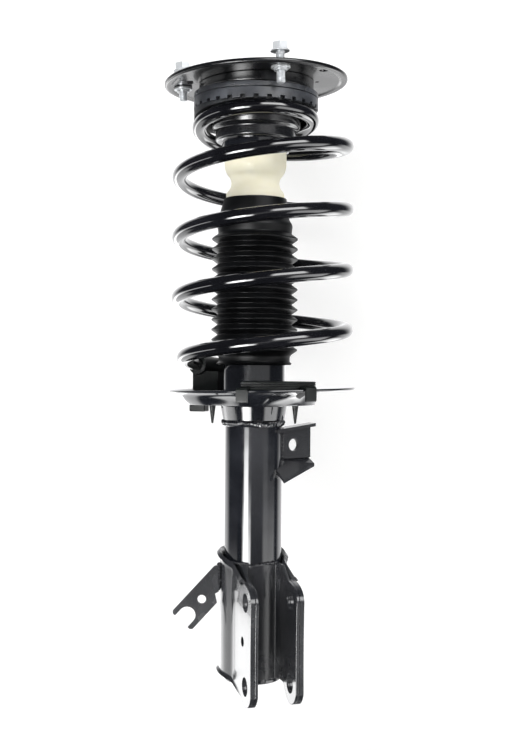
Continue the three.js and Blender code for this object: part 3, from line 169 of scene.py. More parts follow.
for name, place, size, power in LAMPS:
    lamp_data = bpy.data.lights.new(name, "AREA")
    lamp_data.shape = "DISK"
    lamp_data.size = size
    lamp_data.energy = power
    lamp = bpy.data.objects.new(name, lamp_data)
    lamp.location = place
    lamp.rotation_euler = (LAMP_AIM - Vector(place)).to_track_quat("-Z", "Y").to_euler()
    lamp.visible_camera = False
    lamp.visible_glossy = False
    scene.collection.objects.link(lamp)

# ---- Paper and floor ----
# A sheet of white paper stands close behind the strut and takes its soft shadow; from its back it
# can be seen through, so that it hides nothing. The floor is plain and pale.
PAPER_DISTANCE = 0.118
PAPER_SIZE = (2.4, 2.2)
FLOOR_DEPTH = -0.12


def blank_finish(name):
    """A new material with nothing in its node tree."""
    finish = bpy.data.materials.new(name)
    finish.use_nodes = True
    finish.node_tree.nodes.clear()
    return finish, finish.node_tree


def stage_sheet(name, size, place, colour, glow, see_through):
    bm = bmesh.new()
    spread = place @ Matrix.Diagonal((*size, 1, 1))
    bmesh.ops.create_grid(bm, x_segments=1, y_segments=1, size=0.5, matrix=spread)
    mesh = bpy.data.meshes.new(name)
    bm.to_mesh(mesh)
    bm.free()
    finish, tree = blank_finish(name)
    matt = add(tree, "BsdfDiffuse", {}, {"Color": hex_colour(colour)})
    seen_by = add(tree, "LightPath", {}, {})
    strength = add(tree, "Math", {"operation": "MULTIPLY"}, {0: seen_by.outputs["Is Camera Ray"], 1: glow})
    light = add(tree, "Emission", {}, {"Color": (1, 1, 1, 1), "Strength": strength.outputs[0]})
    surface = add(tree, "AddShader", {}, {0: matt.outputs[0], 1: light.outputs[0]})
    if see_through:
        side = add(tree, "NewGeometry", {}, {})
        clear = add(tree, "BsdfTransparent", {}, {})
        surface = add(tree, "MixShader", {}, {
            0: side.outputs["Backfacing"], 1: surface.outputs[0], 2: clear.outputs[0],
        })
    add(tree, "OutputMaterial", {}, {"Surface": surface.outputs[0]})
    mesh.materials.append(finish)
    sheet = bpy.data.objects.new(name, mesh)
    scene.collection.objects.link(sheet)
    sheet.visible_shadow = False
    sheet.visible_glossy = False


upright = Matrix.Translation((0, PAPER_DISTANCE, 0.3)) @ Matrix.Rotation(math.radians(90), 4, "X")
stage_sheet("white paper", PAPER_SIZE, upright, "#d8d8d8", 0.42, True)
stage_sheet("pale floor", (6, 6), Matrix.Translation((0, 0, FLOOR_DEPTH)), "#e6e6e4", 0.25, False)

# ---- Damper tube ----
# The reservoir is drawn steel tube, rolled in at the top over the seal. Tube, cap, seat and brackets
# are welded together and then dipped in gloss black paint, which shows every lamp as a hard streak.
MM = 0.001


def extent(node):
    """Lowest and highest corner of a CAD node, in millimetres."""
    return [[side / MM for side in corner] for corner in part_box(node)]


def turned(outline, steps=128, segments=3):
    """A closed outline of (radius, height, rounding) in millimetres, spun round the rod's axis."""
    bm = bmesh.new()
    corners = [bm.verts.new((radius * MM, 0, height * MM)) for radius, height, _ in outline]
    bm.faces.new(corners)
    for size in sorted({rounding for *_, rounding in outline if rounding}):
        sharp = [corner for corner, (*_, rounding) in zip(corners, outline) if rounding == size]
        bmesh.ops.bevel(
            bm, geom=sharp, offset=size * MM, offset_type="OFFSET", segments=segments, profile=0.5,
            affect="VERTICES", clamp_overlap=True, material=-1,
        )
    bmesh.ops.delete(bm, geom=bm.faces[:], context="FACES_ONLY")
    on_axis = [side for side in bm.edges if all(abs(v.co.x) < 1e-7 for v in side.verts)]
    bmesh.ops.delete(bm, geom=on_axis, context="EDGES")
    bmesh.ops.spin(
        bm, geom=bm.verts[:] + bm.edges[:], cent=(0, 0, 0), axis=(0, 0, 1), dvec=(0, 0, 0),
        angle=math.tau, steps=steps, use_merge=True,
    )
    bmesh.ops.remove_doubles(bm, verts=bm.verts[:], dist=1e-6)
    bmesh.ops.recalc_face_normals(bm, faces=bm.faces[:])
    return bm


def shaded(obj, crease=32):
    obj.data.shade_smooth()
    obj.data.set_sharp_from_angle(angle=math.radians(crease))


made = []


def piece(name, bm, finish, body, nodes=(), crease=32):
    mesh = bpy.data.meshes.new(name)
    bm.to_mesh(mesh)
    bm.free()
    mesh.materials.append(finish)
    obj = bpy.data.objects.new(name, mesh)
    scene.collection.objects.link(obj)
    shaded(obj, crease)
    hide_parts(*nodes)
    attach(obj, body)
    made.append(obj)
    return obj


# Black dip paint over steel, stoved to a full gloss: a clear hard skin with faint orange peel, a few
# slow waves where it ran, and a haze of handling dust that dulls it in patches.
PEEL_SIZE = 2.2
RUN_SIZE = 28
HAZE_SIZE = 45


def gloss_coat(name, colour, dusty, peel_height, roughness, coat=1.0):
    finish, tree = blank_finish(name)
    place = add(tree, "TexCoord", {}, {}).outputs["Object"]
    runs = add(tree, "TexNoise", {}, {"Vector": place, "Scale": 1 / (RUN_SIZE * MM), "Detail": 1})
    peel = add(tree, "TexNoise", {}, {"Vector": place, "Scale": 1 / (PEEL_SIZE * MM), "Detail": 2})
    haze = add(tree, "TexNoise", {}, {"Vector": place, "Scale": 1 / (HAZE_SIZE * MM), "Detail": 6})
    slow = add(tree, "Bump", {}, {"Height": runs.outputs[0], "Strength": 0.5, "Distance": 0.25 * MM})
    skin = add(tree, "Bump", {}, {
        "Height": peel.outputs[0], "Normal": slow.outputs[0], "Strength": 0.5, "Distance": peel_height * MM,
    })
    patches = add(tree, "MapRange", {"interpolation_type": "SMOOTHSTEP"}, {
        "Value": haze.outputs[0], "From Min": 0.45, "From Max": 0.72, "To Min": 0.0, "To Max": 1.0,
    }).outputs["Result"]
    rough = add(tree, "MapRange", {}, {
        "Value": patches, "To Min": roughness, "To Max": roughness + 0.07,
    }).outputs["Result"]
    dust = add(tree, "Mix", {"data_type": "RGBA"}, {
        "Factor": patches, 6: hex_colour(colour), 7: hex_colour(dusty),
    }).outputs[2]
    surface = add(tree, "BsdfPrincipled", {}, {
        "Base Color": dust, "Roughness": rough, "Normal": skin.outputs[0], "Specular IOR Level": 0.8,
        "Coat Weight": coat, "Coat Roughness": 0.04, "Coat IOR": 1.6, "Coat Normal": slow.outputs[0],
    })
    add(tree, "OutputMaterial", {}, {"Surface": surface.outputs[0]})
    return finish


dip_paint = gloss_coat("stoved black dip paint", "#15171b", "#24262b", 0.012, 0.1)

TUBE_WALL = 2
ROLL_IN = 5
CAP_WALL = 3
base_high = extent("base_cap")[1]
tube_high = extent("reservoir_tube")[1]
tube_radius, tube_top = tube_high[0], tube_high[2]
tube_bore = tube_radius - TUBE_WALL
piece("damper_tube", turned([
    (tube_bore, 0, 0.3), (tube_radius, 0, 0.6), (tube_radius, tube_top, 2.5),
    (tube_bore - ROLL_IN, tube_top, 0.4), (tube_bore - ROLL_IN, tube_top - TUBE_WALL, 0.3),
    (tube_bore, tube_top - TUBE_WALL, 0.5),
], 160), dip_paint, "strut_body", ["reservoir_tube"])

cap_radius, cap_top = base_high[0], base_high[2]
piece("base_plug", turned([
    (0, 0, 0), (cap_radius, 0, 1.4), (cap_radius, cap_top, 0.4), (cap_radius - CAP_WALL, cap_top, 0.4),
    (cap_radius - CAP_WALL, CAP_WALL, 1.2), (0, CAP_WALL, 0),
], 96), dip_paint, "strut_body", ["base_cap"])

# ---- Striker cap ----
# A pressed steel cap over the tube's end takes the blows of the bump stop. It is bare, phosphated
# and oiled steel with the rings of its tool, and it hides under the dust boot.


def bare_metal(name, colour, dull, roughness, ring_pitch, metal=1.0):
    """A metal turned or drawn on the rod's axis, with fine rings left by the tool."""
    finish, tree = blank_finish(name)
    place = add(tree, "TexCoord", {}, {}).outputs["Object"]
    stains = add(tree, "TexNoise", {}, {"Vector": place, "Scale": 1 / (9 * MM), "Detail": 5})
    rings = add(tree, "TexWave", {"bands_direction": "Z"}, {
        "Vector": place, "Scale": 1 / (20 * ring_pitch * MM), "Distortion": 0.6, "Detail": 1,
    })
    cut = add(tree, "Bump", {}, {"Height": rings.outputs["Fac"], "Strength": 0.25, "Distance": 0.03 * MM})
    tint = add(tree, "Mix", {"data_type": "RGBA"}, {
        "Factor": stains.outputs[0], 6: hex_colour(colour), 7: hex_colour(dull),
    }).outputs[2]
    rough = add(tree, "MapRange", {}, {
        "Value": stains.outputs[0], "From Min": 0.3, "From Max": 0.7,
        "To Min": roughness - 0.06, "To Max": roughness + 0.08,
    }).outputs["Result"]
    surface = add(tree, "BsdfPrincipled", {}, {
        "Base Color": tint, "Metallic": metal, "Roughness": rough, "Normal": cut.outputs[0],
    })
    add(tree, "OutputMaterial", {}, {"Surface": surface.outputs[0]})
    return finish


turned_steel = bare_metal("bare turned steel, oiled", "#a3a5a8", "#7c7d80", 0.34, 0.6)
STRIKER_BORE = 13
STRIKER_WALL = 2
striker_low, striker_high = extent("striker_cap")
skirt, striker_top = striker_high[0], striker_high[2]
piece("end_striker", turned([
    (skirt, striker_low[2], 0.5), (skirt, striker_top, 2.2), (STRIKER_BORE, striker_top, 0.3),
    (STRIKER_BORE, striker_top - STRIKER_WALL, 0.3), (skirt - STRIKER_WALL, striker_top - STRIKER_WALL, 0.8),
    (skirt - STRIKER_WALL, striker_low[2], 0.3),
], 96), turned_steel, "strut_body", ["striker_cap"])

# ---- Lower spring seat ----
# A deep drawn steel dish with a neck that slides over the tube. Its rim leans and stands off to the
# right; the wall is a long slope on the left and a steep step with a flat flange on the right.
SEAT_SHEET = 2.5
SEAT_FLOOR = 60.5
SEAT_FLOOR_OFFSET = -3.5
SEAT_RIM = 87.6
SEAT_RISE = 12.5
SEAT_OFFSET = 7.9
SEAT_TILT = math.radians(1.25)
SEAT_STEEP_SHARE = 0.1
SEAT_SHOULDER = 36
NECK_WALL = 1.9
NECK_FLARE = 2.6
SEAT_STATIONS = 26
# Clearance left between pieces that touch.
GAP = 0.3


def clamp(value):
    return min(max(value, 0), 1)


def ease(value, start, end):
    share = clamp((value - start) / (end - start))
    return share * share * (3 - 2 * share)


def mix(start, end, share):
    return start + (end - start) * share


def steepness(x, y):
    return ease(x / math.hypot(x, y), 0.2, 0.9)


def dish_rise(x, y, setback):
    radius = math.hypot(x, y) - setback * steepness(x, y)
    width = (SEAT_RIM - SEAT_FLOOR) * mix(1, SEAT_STEEP_SHARE, steepness(x, y))
    return SEAT_RISE * math.sin(clamp((radius - SEAT_FLOOR) / width) * math.pi / 2)


def dish_shift(x, y):
    reach = math.hypot(x, y)
    floor_shift = SEAT_FLOOR_OFFSET * ease(reach, SEAT_SHOULDER, SEAT_FLOOR)
    return mix(floor_shift, SEAT_OFFSET, ease(reach, SEAT_FLOOR, SEAT_RIM))


def reshape(bm, move):
    """Moves every vertex by a function of its place, in millimetres."""
    for vert in bm.verts:
        vert.co = Vector(move(*(vert.co / MM))) * MM


seat_low, seat_high = extent("lower_spring_seat")
NECK_BELOW = 15
neck = tube_radius + GAP + NECK_WALL
seat_floor = seat_low[2] + NECK_BELOW
seat_top = seat_floor + SEAT_SHEET
neck_top = seat_high[2]
stations = [mix(SEAT_FLOOR, SEAT_RIM, (i / SEAT_STATIONS) ** 1.5) for i in range(1, SEAT_STATIONS)]


def seat_dish(x, y, z):
    setback = SEAT_SHEET / 2 if z < seat_floor + SEAT_SHEET / 2 else 0
    lean = math.tan(SEAT_TILT) * x * ease(math.hypot(x, y), SEAT_FLOOR, SEAT_RIM)
    return x + dish_shift(x, y), y, z + dish_rise(x, y, setback) + lean


dish = turned([
    (neck - NECK_WALL, seat_low[2], 0.3), (neck, seat_low[2], 0.5), (neck + NECK_FLARE, seat_floor, 2),
    (SEAT_FLOOR, seat_floor, 0), *[(radius, seat_floor, 0) for radius in stations],
    (SEAT_RIM, seat_floor, 1.2), (SEAT_RIM, seat_top, 1.2),
    *[(radius, seat_top, 0) for radius in reversed(stations)], (SEAT_FLOOR, seat_top, 0),
    (neck, seat_top, 2.6), (neck, neck_top, 1.3), (neck - NECK_WALL, neck_top, 0.3),
], 224, 4)
reshape(dish, seat_dish)
piece("spring_seat_dish", dish, dip_paint, "strut_body", ["lower_spring_seat"], 40)

# ---- Seat weld ----
# One round of weld joins the seat's neck to the tube. It is lumpy where the bead was laid down in
# ripples, with a few heavy drops in front, all under the same black paint.
RIPPLE_COUNT = 66
RIPPLE_HEIGHT = 0.35
LUMP_HEIGHT = 1.7
LUMP_SIZE = 9
DROP_ANGLE = -68
DROP_SPREAD = 30

weld_low, weld_high = extent("seat_weld")
bead_root = tube_radius + 0.1
bead_middle = (weld_low[2] + weld_high[2]) / 2
bead = turned([
    (bead_root, weld_low[2] - 1.2, 0.2), (bead_root + 2.2, weld_low[2] + 0.4, 0.8),
    (weld_high[0], bead_middle + 1, 1.2), (weld_high[0] - 1.2, weld_high[2] + 0.6, 0.6),
    (bead_root, weld_high[2] + 0.6, 0),
], 320, 3)


def lay_bead(x, y, z):
    angle = math.atan2(y, x)
    outward = clamp((math.hypot(x, y) - bead_root) / 2)
    drops = math.exp(-((math.degrees(angle) - DROP_ANGLE) / DROP_SPREAD) ** 2)
    lumps = noise.noise(Vector((x, y, z)) / LUMP_SIZE) * LUMP_HEIGHT * (0.7 + 1.6 * drops)
    ripple = RIPPLE_HEIGHT * math.sin(RIPPLE_COUNT * angle + 0.8 * z)
    grown = 1 + outward * (lumps + ripple + 0.9 * drops) / math.hypot(x, y)
    return x * grown, y * grown, z + outward * (lumps - 0.9 * drops) * (1 if z > bead_middle else -1) * 0.8


reshape(bead, lay_bead)
piece("seat_weld_bead", bead, dip_paint, "strut_body", ["seat_weld"], 60)

# ---- Spring pad on the lower seat ----
# Moulded rubber, satin black with a green cast: a ring on the dish, a ribbed block in front with two
# clips over the rim, a sleeve on a post that holds the wire's end, a foot and two push-in pegs.
PAD_INNER = 36
PAD_THICKNESS = 7
BLOCK_OVERLAP = 6
BLOCK_OUTER = 80
BLOCK_ANGLES = (-104, -54)
BLOCK_RISE = 12.7
CLIP_ANGLES = (-102, -62)
CLIP_WIDTH = 10
CLIP_SHEET = 3
CLIP_DROP = 11
SLEEVE_ANGLES = (98, 151)
SLEEVE_WALL = 3.2
POST_ANGLES = (133, 148)
FOOT_ANGLE = 160
FOOT_REACH = 56
FOOT_SIZE = (16, 12)
FOOT_DROP = 8
PEG_CIRCLE = 51
PEG_ANGLES = (-138, -42)
PEG_RADIUS = 3.4
PEG_DROP = 17

# Spring line, turn by turn from the upper end: the sleeve needs it as well as the spring.
WIRE_RADIUS = 6.75
COIL_PITCH = 56.8
COIL_RADIUS = 79
COIL_OFFSET = 7.3
COIL_TOP_RADIUS = 53
COIL_END_RADIUS = 70
COIL_SEAT_RISE = 18.6
COIL_LEAN = (0.05, -0.1)
FIRST_TURN = -0.3
LAST_TURN = 4.79
FLARE = (0.45, 1.05)
LEAN_END = 1.5
TOP_RAMP = (0.25, 0.92)
END_RAMP = (4.5, 5.25)
CLOSING = (4.1, LAST_TURN)


def eased_turns(turn, ramp):
    span = ramp[1] - ramp[0]
    share = clamp((turn - ramp[0]) / span)
    return span * (share ** 3 - share ** 4 / 2) + max(turn - ramp[1], 0)


def coil_drop(turn):
    return COIL_PITCH * (eased_turns(turn, TOP_RAMP) - eased_turns(turn, END_RAMP))


def coil_radius(turn):
    return mix(mix(COIL_TOP_RADIUS, COIL_RADIUS, ease(turn, *FLARE)), COIL_END_RADIUS, ease(turn, *CLOSING))


ramp_turns = (TOP_RAMP[1] - TOP_RAMP[0] + END_RAMP[1] - END_RAMP[0]) / 2
coil_top = seat_top + COIL_SEAT_RISE + COIL_PITCH * (END_RAMP[0] - TOP_RAMP[1] + ramp_turns)


def coil_point(turn):
    angle = -math.tau * turn
    x = COIL_OFFSET * ease(turn, *FLARE) + coil_radius(turn) * math.cos(angle)
    y = coil_radius(turn) * math.sin(angle)
    lean = (1 - ease(turn, FLARE[0], LEAN_END)) * (COIL_LEAN[0] * x + COIL_LEAN[1] * y)
    return Vector((x, y, coil_top - coil_drop(turn) + lean))


def turn_at(x, y):
    share = -math.atan2(y, x - COIL_OFFSET) / math.tau
    return math.floor(LAST_TURN) + share % 1


def swept(outline, angles, centre=0.0, steps=24):
    """A closed outline of (radius, height) swept about an upright line at x = centre, its ends closed."""
    bm = bmesh.new()
    corners = [bm.verts.new((radius * MM, 0, height * MM)) for radius, height in outline]
    for i, corner in enumerate(corners):
        bm.edges.new((corners[i - 1], corner))
    start, end = [math.radians(angle) for angle in angles]
    bmesh.ops.rotate(bm, verts=bm.verts[:], cent=(0, 0, 0), matrix=Matrix.Rotation(start, 3, "Z"))
    bmesh.ops.spin(
        bm, geom=bm.verts[:] + bm.edges[:], cent=(0, 0, 0), axis=(0, 0, 1), dvec=(0, 0, 0),
        angle=end - start, steps=steps, use_merge=False,
    )
    open_ends = [side for side in bm.edges if side.is_boundary]
    bmesh.ops.holes_fill(bm, edges=open_ends, sides=0)
    bmesh.ops.translate(bm, verts=bm.verts[:], vec=(centre * MM, 0, 0))
    bmesh.ops.recalc_face_normals(bm, faces=bm.faces[:])
    return bm


def poured(target, part):
    """Adds one closed body to a moulding made of several."""
    mesh = bpy.data.meshes.new("part")
    part.to_mesh(mesh)
    part.free()
    target.from_mesh(mesh)
    bpy.data.meshes.remove(mesh)


def rounded_block(place, size, rounding, segments):
    """A block with all its edges rounded, its size in millimetres, set down by a matrix."""
    bm = bmesh.new()
    scale = Matrix.Diagonal((*(side * MM for side in size), 1))
    bmesh.ops.create_cube(bm, size=1, matrix=place @ scale)
    bmesh.ops.bevel(
        bm, geom=bm.edges[:], offset=rounding * MM, offset_type="OFFSET", segments=segments, profile=0.5,
        affect="EDGES", material=-1,
    )
    return bm


def seat_surface(x, y):
    unshifted = x
    for _ in range(12):
        unshifted = x - dish_shift(unshifted, y)
    lean = math.tan(SEAT_TILT) * unshifted * ease(math.hypot(unshifted, y), SEAT_FLOOR, SEAT_RIM)
    return seat_top + dish_rise(unshifted, y, 0) + lean


def rubber(name, colour, bloom, grain, bump_height, roughness, shine=0.5):
    """Moulded rubber: matt to satin, with the fine grain of the mould and a pale bloom in patches."""
    finish, tree = blank_finish(name)
    place = add(tree, "TexCoord", {}, {}).outputs["Object"]
    fine = add(tree, "TexNoise", {}, {"Vector": place, "Scale": 1 / (grain * MM), "Detail": 3})
    cloud = add(tree, "TexNoise", {}, {"Vector": place, "Scale": 1 / (18 * MM), "Detail": 5})
    skin = add(tree, "Bump", {}, {"Height": fine.outputs[0], "Strength": 0.6, "Distance": bump_height * MM})
    patches = add(tree, "MapRange", {"interpolation_type": "SMOOTHSTEP"}, {
        "Value": cloud.outputs[0], "From Min": 0.4, "From Max": 0.75,
    }).outputs["Result"]
    tint = add(tree, "Mix", {"data_type": "RGBA"}, {
        "Factor": patches, 6: hex_colour(colour), 7: hex_colour(bloom),
    }).outputs[2]
    rough = add(tree, "MapRange", {}, {
        "Value": cloud.outputs[0], "From Min": 0.3, "From Max": 0.7,
        "To Min": roughness - 0.05, "To Max": roughness + 0.08,
    }).outputs["Result"]
    surface = add(tree, "BsdfPrincipled", {}, {
        "Base Color": tint, "Roughness": rough, "Normal": skin.outputs[0], "Specular IOR Level": shine,
    })
    add(tree, "OutputMaterial", {}, {"Surface": surface.outputs[0]})
    return finish


pad_rubber = rubber("moulded natural rubber", "#0f1211", "#1c201f", 1.1, 0.05, 0.42)
pad_floor = seat_top + GAP
pad_top = pad_floor + PAD_THICKNESS
pad_radius = SEAT_FLOOR + SEAT_FLOOR_OFFSET - 1

moulding = turned([
    (PAD_INNER, pad_floor, 0.4), (pad_radius, pad_floor, 0.4),
    (pad_radius, pad_top, 1.8), (PAD_INNER, pad_top, 1.8),
], 96)

# Outer side of the block as (radius, share of its height): two long grooves run along its face.
BLOCK_FACE = [
    (BLOCK_OUTER - 0.4, 0), (BLOCK_OUTER, 0.08), (BLOCK_OUTER, 0.3), (BLOCK_OUTER - 1.2, 0.34),
    (BLOCK_OUTER - 1.2, 0.4), (BLOCK_OUTER, 0.44), (BLOCK_OUTER, 0.6), (BLOCK_OUTER - 1.2, 0.64),
    (BLOCK_OUTER - 1.2, 0.7), (BLOCK_OUTER, 0.74), (BLOCK_OUTER, 0.88), (BLOCK_OUTER - 0.6, 0.96),
    (BLOCK_OUTER - 2.2, 1),
]
block_inner = pad_radius - BLOCK_OVERLAP
block_ceiling = pad_top + BLOCK_RISE
block_outline = [(block_inner, 0), *BLOCK_FACE, (block_inner + 2, 1)]
block = swept(block_outline, BLOCK_ANGLES, SEAT_OFFSET, 36)
reshape(block, lambda x, y, z: (x, y, mix(seat_surface(x, y) + 0.6, block_ceiling, z)))
poured(moulding, block)

# The clips reach from the block over the rim and down outside it.
rim = SEAT_RIM + GAP
hook = [
    (BLOCK_OUTER - 5, 0.4), (rim, 0.4), (rim, -CLIP_DROP), (rim + CLIP_SHEET - 1.2, -CLIP_DROP),
    (rim + CLIP_SHEET - 0.3, -CLIP_DROP + 0.6), (rim + CLIP_SHEET, -CLIP_DROP + 2), (rim + CLIP_SHEET, 0),
    (rim + CLIP_SHEET - 0.4, 1.2), (rim + CLIP_SHEET - 1.6, 2.2), (BLOCK_OUTER - 5, 2.4),
]
half_clip = math.degrees(CLIP_WIDTH / 2 / rim)
for angle in CLIP_ANGLES:
    clip = swept(hook, (angle - half_clip, angle + half_clip), 0, 6)
    reshape(clip, lambda x, y, z: (x + SEAT_OFFSET, y, z + seat_top + SEAT_RISE + math.tan(SEAT_TILT) * x))
    poured(moulding, clip)


def sleeve_height(x, y):
    return coil_top - coil_drop(turn_at(x, y))


# A round sleeve of rubber closed round the wire, thicker below.
sleeve_radius = WIRE_RADIUS + SLEEVE_WALL
SLEEVE_SIDES = 20
bearings = [math.tau * i / SLEEVE_SIDES for i in range(SLEEVE_SIDES)]
round_sleeve = [
    (COIL_END_RADIUS + sleeve_radius * math.cos(bearing), sleeve_radius * math.sin(bearing) - 0.4)
    for bearing in bearings
]
sleeve = swept(round_sleeve, SLEEVE_ANGLES, COIL_OFFSET, 24)


def follow_wire(x, y, z):
    reach = math.hypot(x - COIL_OFFSET, y)
    grown = 1 + (coil_radius(turn_at(x, y)) - COIL_END_RADIUS) / reach
    return COIL_OFFSET + (x - COIL_OFFSET) * grown, y * grown, z + sleeve_height(x, y)


reshape(sleeve, follow_wire)
poured(moulding, sleeve)

post_outline = [(block_inner, 0), (COIL_END_RADIUS + 9.5, 0), (COIL_END_RADIUS + 9.5, 1), (block_inner, 1)]
post = swept(post_outline, POST_ANGLES, COIL_OFFSET, 8)
reshape(post, lambda x, y, z: (x, y, mix(seat_surface(x, y) + 0.6, sleeve_height(x, y) - WIRE_RADIUS, z)))
poured(moulding, post)

foot_bottom = seat_floor - FOOT_DROP
foot_height = seat_top + 3 - foot_bottom
foot_place = Matrix.Rotation(math.radians(FOOT_ANGLE), 4, "Z") @ Matrix.Translation(
    (FOOT_REACH * MM, 0, (foot_bottom + foot_height / 2) * MM)
)
poured(moulding, rounded_block(foot_place, (*FOOT_SIZE, foot_height), 1.2, 3))

for angle in PEG_ANGLES:
    peg = turned([
        (0, pad_floor - PEG_DROP - SEAT_SHEET, 0), (0.9, pad_floor - PEG_DROP - SEAT_SHEET, 0.5),
        (PEG_RADIUS, pad_floor, 0), (PEG_RADIUS, pad_floor + 1, 0), (0, pad_floor + 1, 0),
    ], 24)
    turn_peg = math.radians(angle)
    spot = Vector((PEG_CIRCLE * math.cos(turn_peg), PEG_CIRCLE * math.sin(turn_peg), 0)) * MM
    bmesh.ops.translate(peg, verts=peg.verts[:], vec=spot)
    poured(moulding, peg)

piece("spring_pad", moulding, pad_rubber, "strut_body", ["lower_isolator"], 38)

# ---- Coil spring ----
# Spring steel wire of 13.5 mm, wound hot and powder coated in gloss black. A small dead coil leans
# against the upper seat, and about the last two thirds of a turn close in on the pad. The wire's
# ends are cut square with a broken edge.
COIL_STEPS_PER_TURN = 96
WIRE_SIDES = 6
END_ROUNDING = 1.2


def drawn(line):
    """A curve with a round section, as one clean mesh."""
    holder = bpy.data.objects.new(line.name, line)
    scene.collection.objects.link(holder)
    graph = bpy.context.evaluated_depsgraph_get()
    mesh = bpy.data.meshes.new_from_object(holder.evaluated_get(graph))
    bpy.data.objects.remove(holder)
    bm = bmesh.new()
    bm.from_mesh(mesh)
    bmesh.ops.remove_doubles(bm, verts=bm.verts[:], dist=1e-6)
    bmesh.ops.recalc_face_normals(bm, faces=bm.faces[:])
    return bm


powder_coat = gloss_coat("gloss black powder coat", "#0a0a0d", "#121216", 0.02, 0.1)
spring_line = bpy.data.curves.new("spring line", "CURVE")
spring_line.dimensions = "3D"
spring_line.bevel_depth = WIRE_RADIUS * MM
spring_line.bevel_resolution = WIRE_SIDES
spring_line.use_fill_caps = True
spring_line.twist_mode = "Z_UP"
steps = round((LAST_TURN - FIRST_TURN) * COIL_STEPS_PER_TURN)
thread = spring_line.splines.new("POLY")
thread.points.add(steps + 2)
places = [coil_point(mix(FIRST_TURN, LAST_TURN, i / steps)) for i in range(steps + 1)]
for tip, beside in ((0, 1), (-1, -2)):
    along = (places[beside] - places[tip]).normalized()
    places.insert(1 if tip == 0 else len(places) - 1, places[tip] + along * END_ROUNDING)
for point, spot in zip(thread.points, places):
    point.co = (*(spot * MM), 1)
for end in (0, -1):
    thread.points[end].radius = 1 - END_ROUNDING / WIRE_RADIUS
spring = piece(
    "wound_spring", drawn(spring_line), powder_coat, "strut_body", ["coil_spring"], 45,
)
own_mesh(spring)

# ---- Upper spring isolator ----
# A rubber ring between the dead coil and the bearing race. Its underside follows the leaning wire,
# and a thin lip hangs round the coil on the low side.
isolator_high = extent("upper_isolator")[1]
race_low, race_high = extent("bearing_race")
bowl_low, bowl_high = extent("upper_spring_seat")
race_radius = race_high[0]
RACE_SHEET = 3.5
race_skirt = race_radius - RACE_SHEET
BOWL_RADIUS = 45.5
ISOLATOR_LIP = 58.4
wire_top = coil_top + WIRE_RADIUS + 0.2
lip_inner = race_skirt - GAP
under_race = race_low[2] - GAP
isolator = turned([
    (BOWL_RADIUS + GAP, wire_top, 0), (lip_inner - 1, wire_top, 0), (ISOLATOR_LIP, wire_top, 0),
    (ISOLATOR_LIP, under_race, 0), (lip_inner, under_race, 0), (lip_inner, isolator_high[2], 0.6),
    (BOWL_RADIUS + GAP, isolator_high[2], 0.6),
], 160)


def follow_dead_coil(x, y, z):
    turn_here = (-math.atan2(y, x) / math.tau) % 1
    fall = coil_drop(turn_here) * (1 - ease(turn_here, 0.5, 1 + FIRST_TURN))
    wire_here = wire_top - fall + COIL_LEAN[0] * x + COIL_LEAN[1] * y
    radius = math.hypot(x, y)
    on_lip = radius > lip_inner + 0.1
    if z < wire_top + 0.01:
        z = min(wire_here, under_race - 0.2) if on_lip else wire_here
    lip = mix(lip_inner + 0.2, ISOLATOR_LIP, ease(under_race - wire_here, 0.5, 5)) if on_lip else radius
    return x * lip / radius, y * lip / radius, z


reshape(isolator, follow_dead_coil)
ring_rubber = rubber("moulded isolator rubber", "#1c1d1f", "#2c2e30", 1.0, 0.04, 0.5)
ring = piece("spring_isolator", isolator, ring_rubber, "upper_seat", ["upper_isolator"], 40)
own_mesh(ring)

# ---- Upper spring seat ----
# A deep drawn steel bowl in a duller black paint than the damper's. Its flange carries the bearing
# race, its step holds the cup of the bump stop, and the dead coil winds round its wall.
BOWL_SHEET = 2.5
BOWL_FOOT = 41.9
BOWL_STEP = 38
BOWL_STEP_HEIGHT = 11


def pressed(line, sheet):
    """A line of (radius, height, rounding) with sheet laid on its left-hand side, as a closed outline."""
    inner = []
    for i, (radius, height, rounding) in enumerate(line):
        before = line[max(i - 1, 0)]
        after = line[min(i + 1, len(line) - 1)]
        into = Vector((radius - before[0], height - before[1])).normalized()
        out = Vector((after[0] - radius, after[1] - height)).normalized()
        into = into if into.length else out
        out = out if out.length else into
        reach = sheet / (1 + into.dot(out))
        outwards = into.x * out.y - into.y * out.x < 0
        bend = max(rounding + (sheet if outwards else -sheet) * 0.6, 0.25) if rounding else 0
        inner.append((radius - (into.y + out.y) * reach, height + (into.x + out.x) * reach, bend))
    return [*line, *reversed(inner)]


bowl_paint = gloss_coat("stoved black paint, handled", "#18191b", "#26272a", 0.02, 0.22, 0.5)
bowl_bottom, flange_under = bowl_low[2], bowl_high[2] - BOWL_SHEET
step_top = bowl_bottom + BOWL_STEP_HEIGHT
BUMP_BORE = 32.1
piece("upper_seat_bowl", turned(pressed([
    (BUMP_BORE, bowl_bottom, 0), (BOWL_STEP, bowl_bottom, 2.2), (BOWL_STEP, step_top, 1.8),
    (BOWL_FOOT, step_top + 1, 1.8), (BOWL_RADIUS, flange_under, 2), (race_skirt - GAP, flange_under, 0),
], BOWL_SHEET), 160), bowl_paint, "upper_seat", ["upper_spring_seat"], 36)

# ---- Bearing race and cover ----
# Two rings moulded in glass filled nylon, dark grey with a dull sheen and fine flow marks. The race
# has thirty notches in its lower edge; the cover turns on it over a ring of balls.
NOTCH_COUNT = 30
NOTCH_WIDTH = 4.6
NOTCH_DEPTH = 2.8

nylon = rubber("glass filled nylon, moulded", "#2e3034", "#4a4d53", 0.7, 0.03, 0.36, 1.0)


def baked(obj):
    """Turns the modifiers of a piece into its mesh."""
    graph = bpy.context.evaluated_depsgraph_get()
    mesh = bpy.data.meshes.new_from_object(obj.evaluated_get(graph))
    obj.modifiers.clear()
    obj.data = mesh


